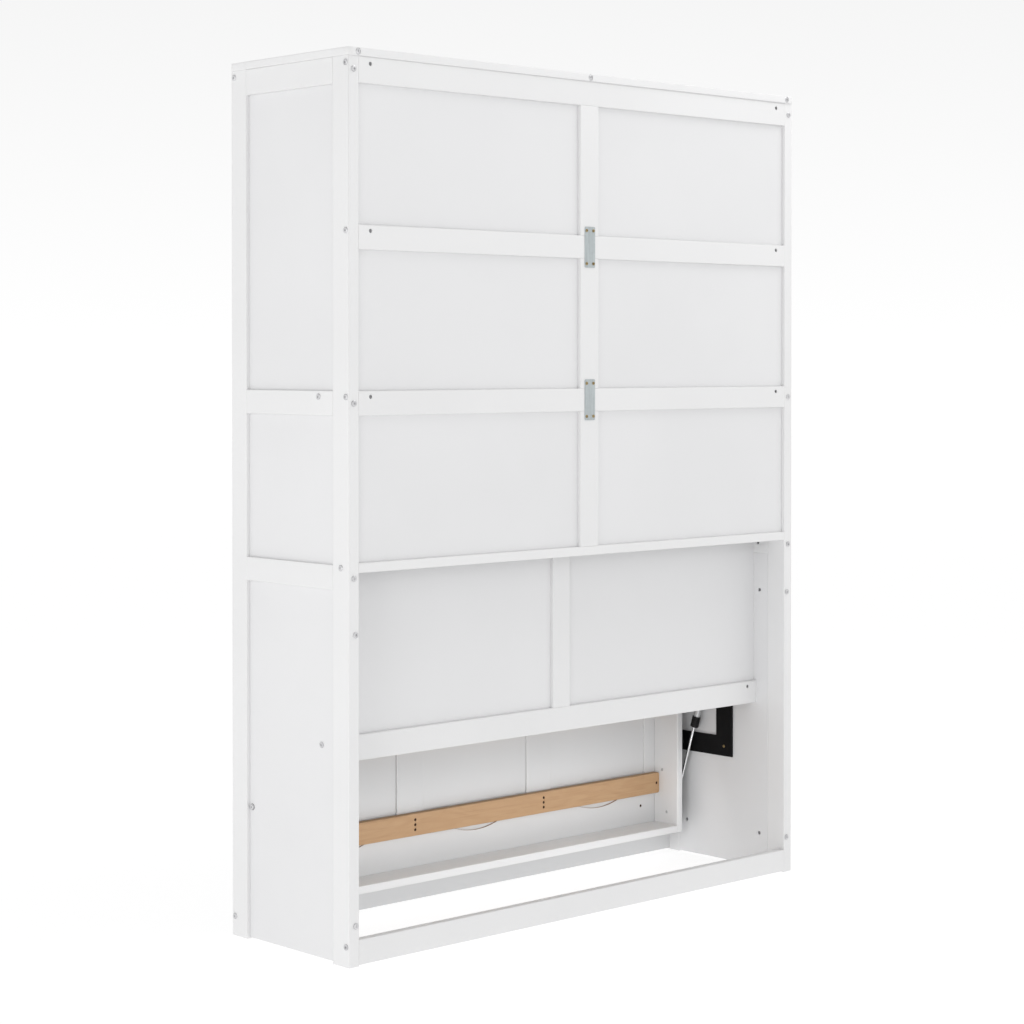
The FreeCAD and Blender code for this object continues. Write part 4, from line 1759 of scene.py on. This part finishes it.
@dataclass
class GasStrut:
    """The gas strut of one side: tube, collar, rod, eyes and the studs that hold it."""

    side: Side
    eye_radius: float = 9 * MM
    eye_width: float = 10 * MM
    eye_bore: float = 4.05 * MM
    neck_radius: float = 5 * MM
    upper_neck: float = 24 * MM
    lower_neck: float = 18 * MM
    tube_radius: float = 10 * MM
    tube_wall: float = 2 * MM
    tube_length: float = 228 * MM
    collar_radius: float = 12 * MM
    collar_length: float = 32 * MM
    collar_grooves: Flat = (9 * MM, 20 * MM)
    groove_depth: float = 0.7 * MM
    rod_radius: float = 4 * MM
    piston_inset: float = 22 * MM
    piston_length: float = 14 * MM
    eye_chamfer: float = 0.8 * MM
    neck_sunk: float = 1.5 * MM

    @property
    def upper(self) -> Vector:
        """The middle of the upper eye."""
        return Vector(joint_named("strut_swing_" + self.side.value)["pos_m"])

    @property
    def along(self) -> Vector:
        """The direction from the upper eye to the lower one."""
        return Vector(joint_named("strut_stroke_" + self.side.value)["axis"]).normalized()

    @property
    def lower(self) -> Vector:
        """The middle of the lower eye."""
        stud = min(solids_of("strut_rod_" + self.side.value), key=lambda solid: solid.centre.z)
        return Vector((self.upper.x, stud.centre.y, stud.centre.z))

    def build(self) -> None:
        """Build and dress the strut."""
        side = self.side.value
        cylinder = "strut_cylinder_" + side
        rod = "strut_rod_" + side
        piece_of([self.tube()], f"strut_tube_{side}_dressed", SILVER, cylinder)
        piece_of([self.collar()], f"strut_collar_{side}_dressed", BLACK_PLASTIC, cylinder, "black_steel")
        self.eye(f"strut_upper_eye_{side}_dressed", cylinder, self.upper, self.along, self.upper_neck)
        piece_of([self.rod()], rod + "_dressed", CHROME, rod)
        self.eye(f"strut_lower_eye_{side}_dressed", rod, self.lower, -self.along, self.lower_neck)
        piece_of([self.lower_stud(rod)], f"strut_lower_stud_{side}_dressed", NICKEL, rod, "bolt_steel")

    @property
    def mouth(self) -> float:
        """How far the tube's mouth lies from the upper eye's middle."""
        return self.upper_neck + self.tube_length

    def tube(self) -> Shape:
        """Turn the tube, closed at its upper end.

        Returns:
            A closed shape.
        """
        top, end = self.upper_neck, self.mouth
        inner = self.tube_radius - self.tube_wall
        rings = (
            Ring(top, 5 * MM),
            Ring(top, self.tube_radius - 1.6 * MM),
            Ring(top + 1.6 * MM, self.tube_radius),
            Ring(end - 1.2 * MM, self.tube_radius),
            Ring(end, self.tube_radius - 0.7 * MM),
            Ring(end, inner),
            Ring(top + self.tube_wall, inner),
        )
        return turned(rings, self.upper, self.along, 40)

    def collar(self) -> Shape:
        """Turn the black collar at the tube's mouth, with two shallow grooves.

        Returns:
            A closed shape.
        """
        start = self.mouth
        end = start + self.collar_length
        bore = self.rod_radius + CLOSE_FIT
        outer = self.collar_radius
        floor = outer - self.groove_depth
        rings = [Ring(start, bore), Ring(start, outer - 0.6 * MM), Ring(start + 0.6 * MM, outer)]
        for place in self.collar_grooves:
            groove = start + place
            rings.append(Ring(groove, outer))
            rings.append(Ring(groove + 0.5 * MM, floor))
            rings.append(Ring(groove + 1.5 * MM, floor))
            rings.append(Ring(groove + 2.0 * MM, outer))
        rings.extend((Ring(end - 1.5 * MM, outer), Ring(end, outer - 1.8 * MM), Ring(end, bore)))
        return turned(rings, self.upper, self.along, 40, hollow=True)

    def eye(self, name: str, node: str, centre: Vector, way: Vector, reach: float) -> Piece:
        """Turn an eye and the neck that runs from it into the strut.

        Args:
            name: The piece's name.
            node: The CAD node that holds the eye.
            centre: The eye's middle.
            way: The direction of the neck.
            reach: How far the neck reaches from the eye's middle.

        Returns:
            The new piece.
        """
        half = self.eye_width / 2
        rim_radius = self.eye_radius - self.eye_chamfer
        ring = (
            Ring(-half, self.eye_bore),
            Ring(-half, rim_radius),
            Ring(self.eye_chamfer - half, self.eye_radius),
            Ring(half - self.eye_chamfer, self.eye_radius),
            Ring(half, rim_radius),
            Ring(half, self.eye_bore),
        )
        neck = (Ring(self.eye_radius - self.neck_sunk, self.neck_radius), Ring(reach, self.neck_radius))
        form = Form()
        form.add(turned(ring, centre, Axis.X.unit, 32, hollow=True))
        form.add(turned(neck, centre, way, 24))
        return form.piece(name, NICKEL, node, "bolt_steel")

    def rod(self) -> Shape:
        """Turn the rod, from its piston in the tube to the lower eye.

        Returns:
            A closed shape.
        """
        whole = (self.lower - self.upper).length
        piston = self.mouth - self.piston_inset
        piston_end = piston + self.piston_length
        piston_radius = self.tube_radius - self.tube_wall - CLOSE_FIT
        rings = (
            Ring(piston, piston_radius),
            Ring(piston_end, piston_radius),
            Ring(piston_end, self.rod_radius),
            Ring(whole - self.lower_neck, self.rod_radius),
        )
        return turned(rings, self.upper, self.along, 32)

    @staticmethod
    def lower_stud(node: str) -> Shape:
        """Turn the stud through the lower eye.

        Args:
            node: The CAD node of the rod, which holds the stud.

        Returns:
            A closed shape.
        """
        stud = min(solids_of(node), key=lambda solid: solid.centre.z)
        start, outward = PivotParts.outward_from(stud)
        return StrutStud().shape(start, outward, stud.size.x)


@dataclass
class FoldLeg:
    """A flat leg that folds out of the bed's face, with its pad."""

    side: Side
    pin_bore: float = 2.55 * MM
    bore_overshoot: float = 2 * MM
    arris: float = 1.0 * MM
    border: float = 2 * MM
    nose_steps: int = 16
    pad_corner: float = 2.5 * MM
    pad_corner_steps: int = 5
    pad_rim: float = 1.2 * MM
    grooves: Triple = (0.25, 0.5, 0.75)
    groove_radius: float = 1.2 * MM
    groove_drop: float = 0.3 * MM

    def build(self) -> None:
        """Build and dress the leg and its pad."""
        self.shank()
        self.pad()

    @property
    def pin(self) -> Vector:
        """The middle of the leg's hinge pin."""
        return Vector(joint_named("leg_fold_" + self.side.value)["pos_m"])

    def shank(self) -> Piece:
        """Cut the leg's bar, round at its pin.

        Returns:
            The new piece.
        """
        node = "leg_" + self.side.value
        solid = solids_of(node)[0]
        low, high = solid.low, solid.high
        half = (high.y - low.y) / 2
        outline = [(low.y, low.z), (high.y, low.z)]
        for step in range(self.nose_steps + 1):
            turn = math.pi * step / self.nose_steps
            outline.append((self.pin.y + half * math.cos(turn), self.pin.z + half * math.sin(turn)))
        shape = prism(outline, Axis.X, solid.span(Axis.X), self.arris, self.border, self.border)
        start = Vector((low.x - self.bore_overshoot, self.pin.y, self.pin.z))
        end = solid.size.x + 2 * self.bore_overshoot
        bore = turned((Ring(0.0, self.pin_bore), Ring(end, self.pin_bore)), start, Axis.X.unit)
        return piece_of([carved(shape, [[bore]])], node + "_dressed", POWDER_COAT, node)

    def pad(self) -> Piece:
        """Mould the pad, with grooves across its sole.

        Returns:
            The new piece.
        """
        node = "leg_pad_" + self.side.value
        solid = solids_of(node)[0]
        low = solid.low
        low_edge, high_edge = Axis.Z.across(low), Axis.Z.across(solid.high)
        outline = rectangle(low_edge, high_edge, self.pad_corner, self.pad_corner_steps)
        shape = prism(outline, Axis.Z, solid.span(Axis.Z), self.pad_rim)
        end = solid.size.y + 2 * self.bore_overshoot
        rings = (Ring(0.0, self.groove_radius), Ring(end, self.groove_radius))
        cutters = []
        for share in self.grooves:
            x = low.x + solid.size.x * share
            start = Vector((x, low.y - self.bore_overshoot, low.z - self.groove_drop))
            cutters.append(turned(rings, start, Axis.Y.unit, 16))
        return piece_of([carved(shape, [cutters])], node + "_dressed", RUBBER, node)


@dataclass
class LegHinges:
    """The forked hinges of the legs, with their pins."""

    wall: float = 3 * MM
    corner: float = 1.0 * MM
    rim: float = 0.5 * MM
    border: float = 2 * MM
    pin_radius: float = 2.5 * MM
    pin_nose: float = 0.7 * MM
    bore_overshoot: float = 2 * MM

    def build(self) -> None:
        """Build and dress both hinges."""
        piece_of(map(self.shape, solids_of("leg_hinges")), "leg_hinges_dressed", POWDER_COAT, "leg_hinges")

    def shape(self, solid: Solid) -> Shape:
        """Shape a fork, or a pin, which is much lower."""
        return self.fork(solid) if solid.size.z > 4 * self.pin_radius else self.pin(solid)

    def fork(self, solid: Solid) -> Shape:
        """Bend a fork from flat bar, bored for its pin.

        Args:
            solid: The fork's solid in the CAD.

        Returns:
            A closed shape.
        """
        low, high = solid.low, solid.high
        left, right, top = low.x + self.wall, high.x - self.wall, high.z - self.wall
        outline = (
            (low.x, low.z), (left, low.z), (left, top), (right, top),
            (right, low.z), (high.x, low.z), (high.x, high.z), (low.x, high.z),
        )
        corners = [(x, z, self.corner) for x, z in outline]
        shape = prism(rounded_outline(corners), Axis.Y, solid.span(Axis.Y), self.rim, self.border)
        pin = Vector(joint_named("leg_fold_right")["pos_m"])
        start = Vector((low.x - self.bore_overshoot, pin.y, pin.z))
        bore = self.pin_radius + CLOSE_FIT
        end = solid.size.x + 2 * self.bore_overshoot
        cutter = turned((Ring(0.0, bore), Ring(end, bore)), start, Axis.X.unit)
        return carved(shape, [[cutter]])

    def pin(self, solid: Solid) -> Shape:
        """Turn a pin with rounded ends.

        Args:
            solid: The pin's solid in the CAD.

        Returns:
            A closed shape.
        """
        start = Vector((solid.low.x, solid.centre.y, solid.centre.z))
        length, nose = solid.size.x, self.pin_nose
        rings = (
            Ring(0.0, self.pin_radius - nose),
            Ring(nose, self.pin_radius),
            Ring(length - nose, self.pin_radius),
            Ring(length, self.pin_radius - nose),
        )
        return turned(rings, start, Axis.X.unit)


# Studio


@dataclass(frozen=True)
class LightPanel:
    """A soft light panel that hangs at a place and faces a point."""

    name: str
    place: Triple
    target: Triple
    width: float
    height: float
    power: float

    def hang(self) -> None:
        """Hang the panel, out of the camera's sight."""
        lamp = bpy.data.lights.new(self.name, "AREA")
        lamp.shape = "RECTANGLE"
        lamp.size = self.width
        lamp.size_y = self.height
        lamp.energy = self.power
        made = bpy.data.objects.new(self.name, lamp)
        made.location = self.place
        sight = Vector(self.target) - Vector(self.place)
        made.rotation_euler = sight.to_track_quat("-Z", "Y").to_euler()
        made.visible_camera = False
        bpy.context.scene.collection.objects.link(made)


KEY_PANEL = LightPanel("key_panel", (-1.6, 1.2, 4.0), (0.0, 0.0, 1.0), 2.0, 2.0, 36.0)
FLANK_PANEL = LightPanel("flank_panel", (4.2, 1.9, 0.9), (-0.7, 0.15, 0.6), 1.5, 1.5, 22.0)
SIDE_PANEL = LightPanel("side_panel", (4.5, -0.8, 1.5), (0.8, 0.0, 1.1), 2.0, 2.0, 8.0)
INNER_PANEL = LightPanel("inner_panel", (0.0, 0.02, 0.215), (0.0, -0.2, 0.13), 1.3, 0.06, 0.55)


@dataclass
class Studio:
    """A pale floor, soft light all round and the camera at the photograph's place."""

    eye: Triple = (4.301, 4.554, 1.416)
    heading: Triple = (-0.68167, -0.73166, 0.0)
    pitch: float = math.radians(0.7)
    lens: float = 84.22
    sensor: float = 36.0
    shift: float = -0.1194
    sight_end: float = 200.0
    floor_reach: float = 30.0
    floor_tone: float = 0.28
    floor_roughness: float = 0.9
    floor_glow: float = 0.79
    sky: float = 1.01
    sky_slope: Triple = (0.0, 0.0, -0.6)

    def build(self) -> None:
        """Set up the floor, the light and the camera."""
        self.floor()
        self.light()
        self.camera()

    def floor(self) -> None:
        """Lay a pale floor under the object."""
        shape = bmesh.new()
        bmesh.ops.create_grid(shape, x_segments=8, y_segments=8, size=self.floor_reach)
        mesh = bpy.data.meshes.new("studio_floor")
        shape.to_mesh(mesh)
        shape.free()
        graph = Graph.of_material("pale_floor")
        pale = graph.dress(
            Base_Color=(self.floor_tone,) * 3,
            Roughness=self.floor_roughness,
            Emission_Color=(1.0, 1.0, 1.0),
            Emission_Strength=self.floor_glow,
        )
        mesh.materials.append(pale)
        made = bpy.data.objects.new("studio_floor", mesh)
        bpy.context.scene.collection.objects.link(made)

    def light(self) -> None:
        """Light the scene from a white sky, dimmer overhead, and from soft panels."""
        graph = Graph(bpy.data.worlds.new("white_sky"), "Background")
        toward = graph.node("ShaderNodeTexCoord", {}, {}, "Generated")
        sockets = {0: toward, 1: self.sky_slope}
        slope = graph.node("ShaderNodeVectorMath", {"operation": "DOT_PRODUCT"}, sockets, "Value")
        bpy.context.scene.world = graph.dress(Color=(1.0, 1.0, 1.0), Strength=slope + self.sky)
        bpy.context.scene.view_settings.view_transform = "Standard"
        for panel in (KEY_PANEL, FLANK_PANEL, SIDE_PANEL, INNER_PANEL):
            panel.hang()

    def camera(self) -> None:
        """Set the camera where the photograph was taken."""
        view = bpy.data.cameras.new("photo_camera")
        view.lens = self.lens
        view.sensor_width = self.sensor
        view.shift_y = self.shift
        view.clip_end = self.sight_end
        made = bpy.data.objects.new("photo_camera", view)
        made.location = self.eye
        sight = Vector(self.heading) * math.cos(self.pitch) - Axis.Z.unit * math.sin(self.pitch)
        made.rotation_euler = sight.to_track_quat("-Z", "Y").to_euler()
        bpy.context.scene.collection.objects.link(made)
        bpy.context.scene.camera = made


def main() -> None:
    """Build every sub-assembly in order, then the studio."""
    logging.basicConfig(level=logging.INFO, format="%(name)s: %(message)s")
    joinery = Joinery()
    joinery.read()
    TopFrame(joinery).build()
    for side in Side:
        SideFrame(joinery, side).build()
    CrossFrames(joinery).build()
    BedFace(joinery).build()
    BedTray(joinery).build()
    Hardware(joinery).build()
    PivotParts(joinery).build()
    StrutStud().build()
    LegHinges().build()
    for side in Side:
        WallBracket(joinery, side).build()
        GasStrut(side).build()
        FoldLeg(side).build()
    Studio().build()


if __name__ == "__main__":
    main()
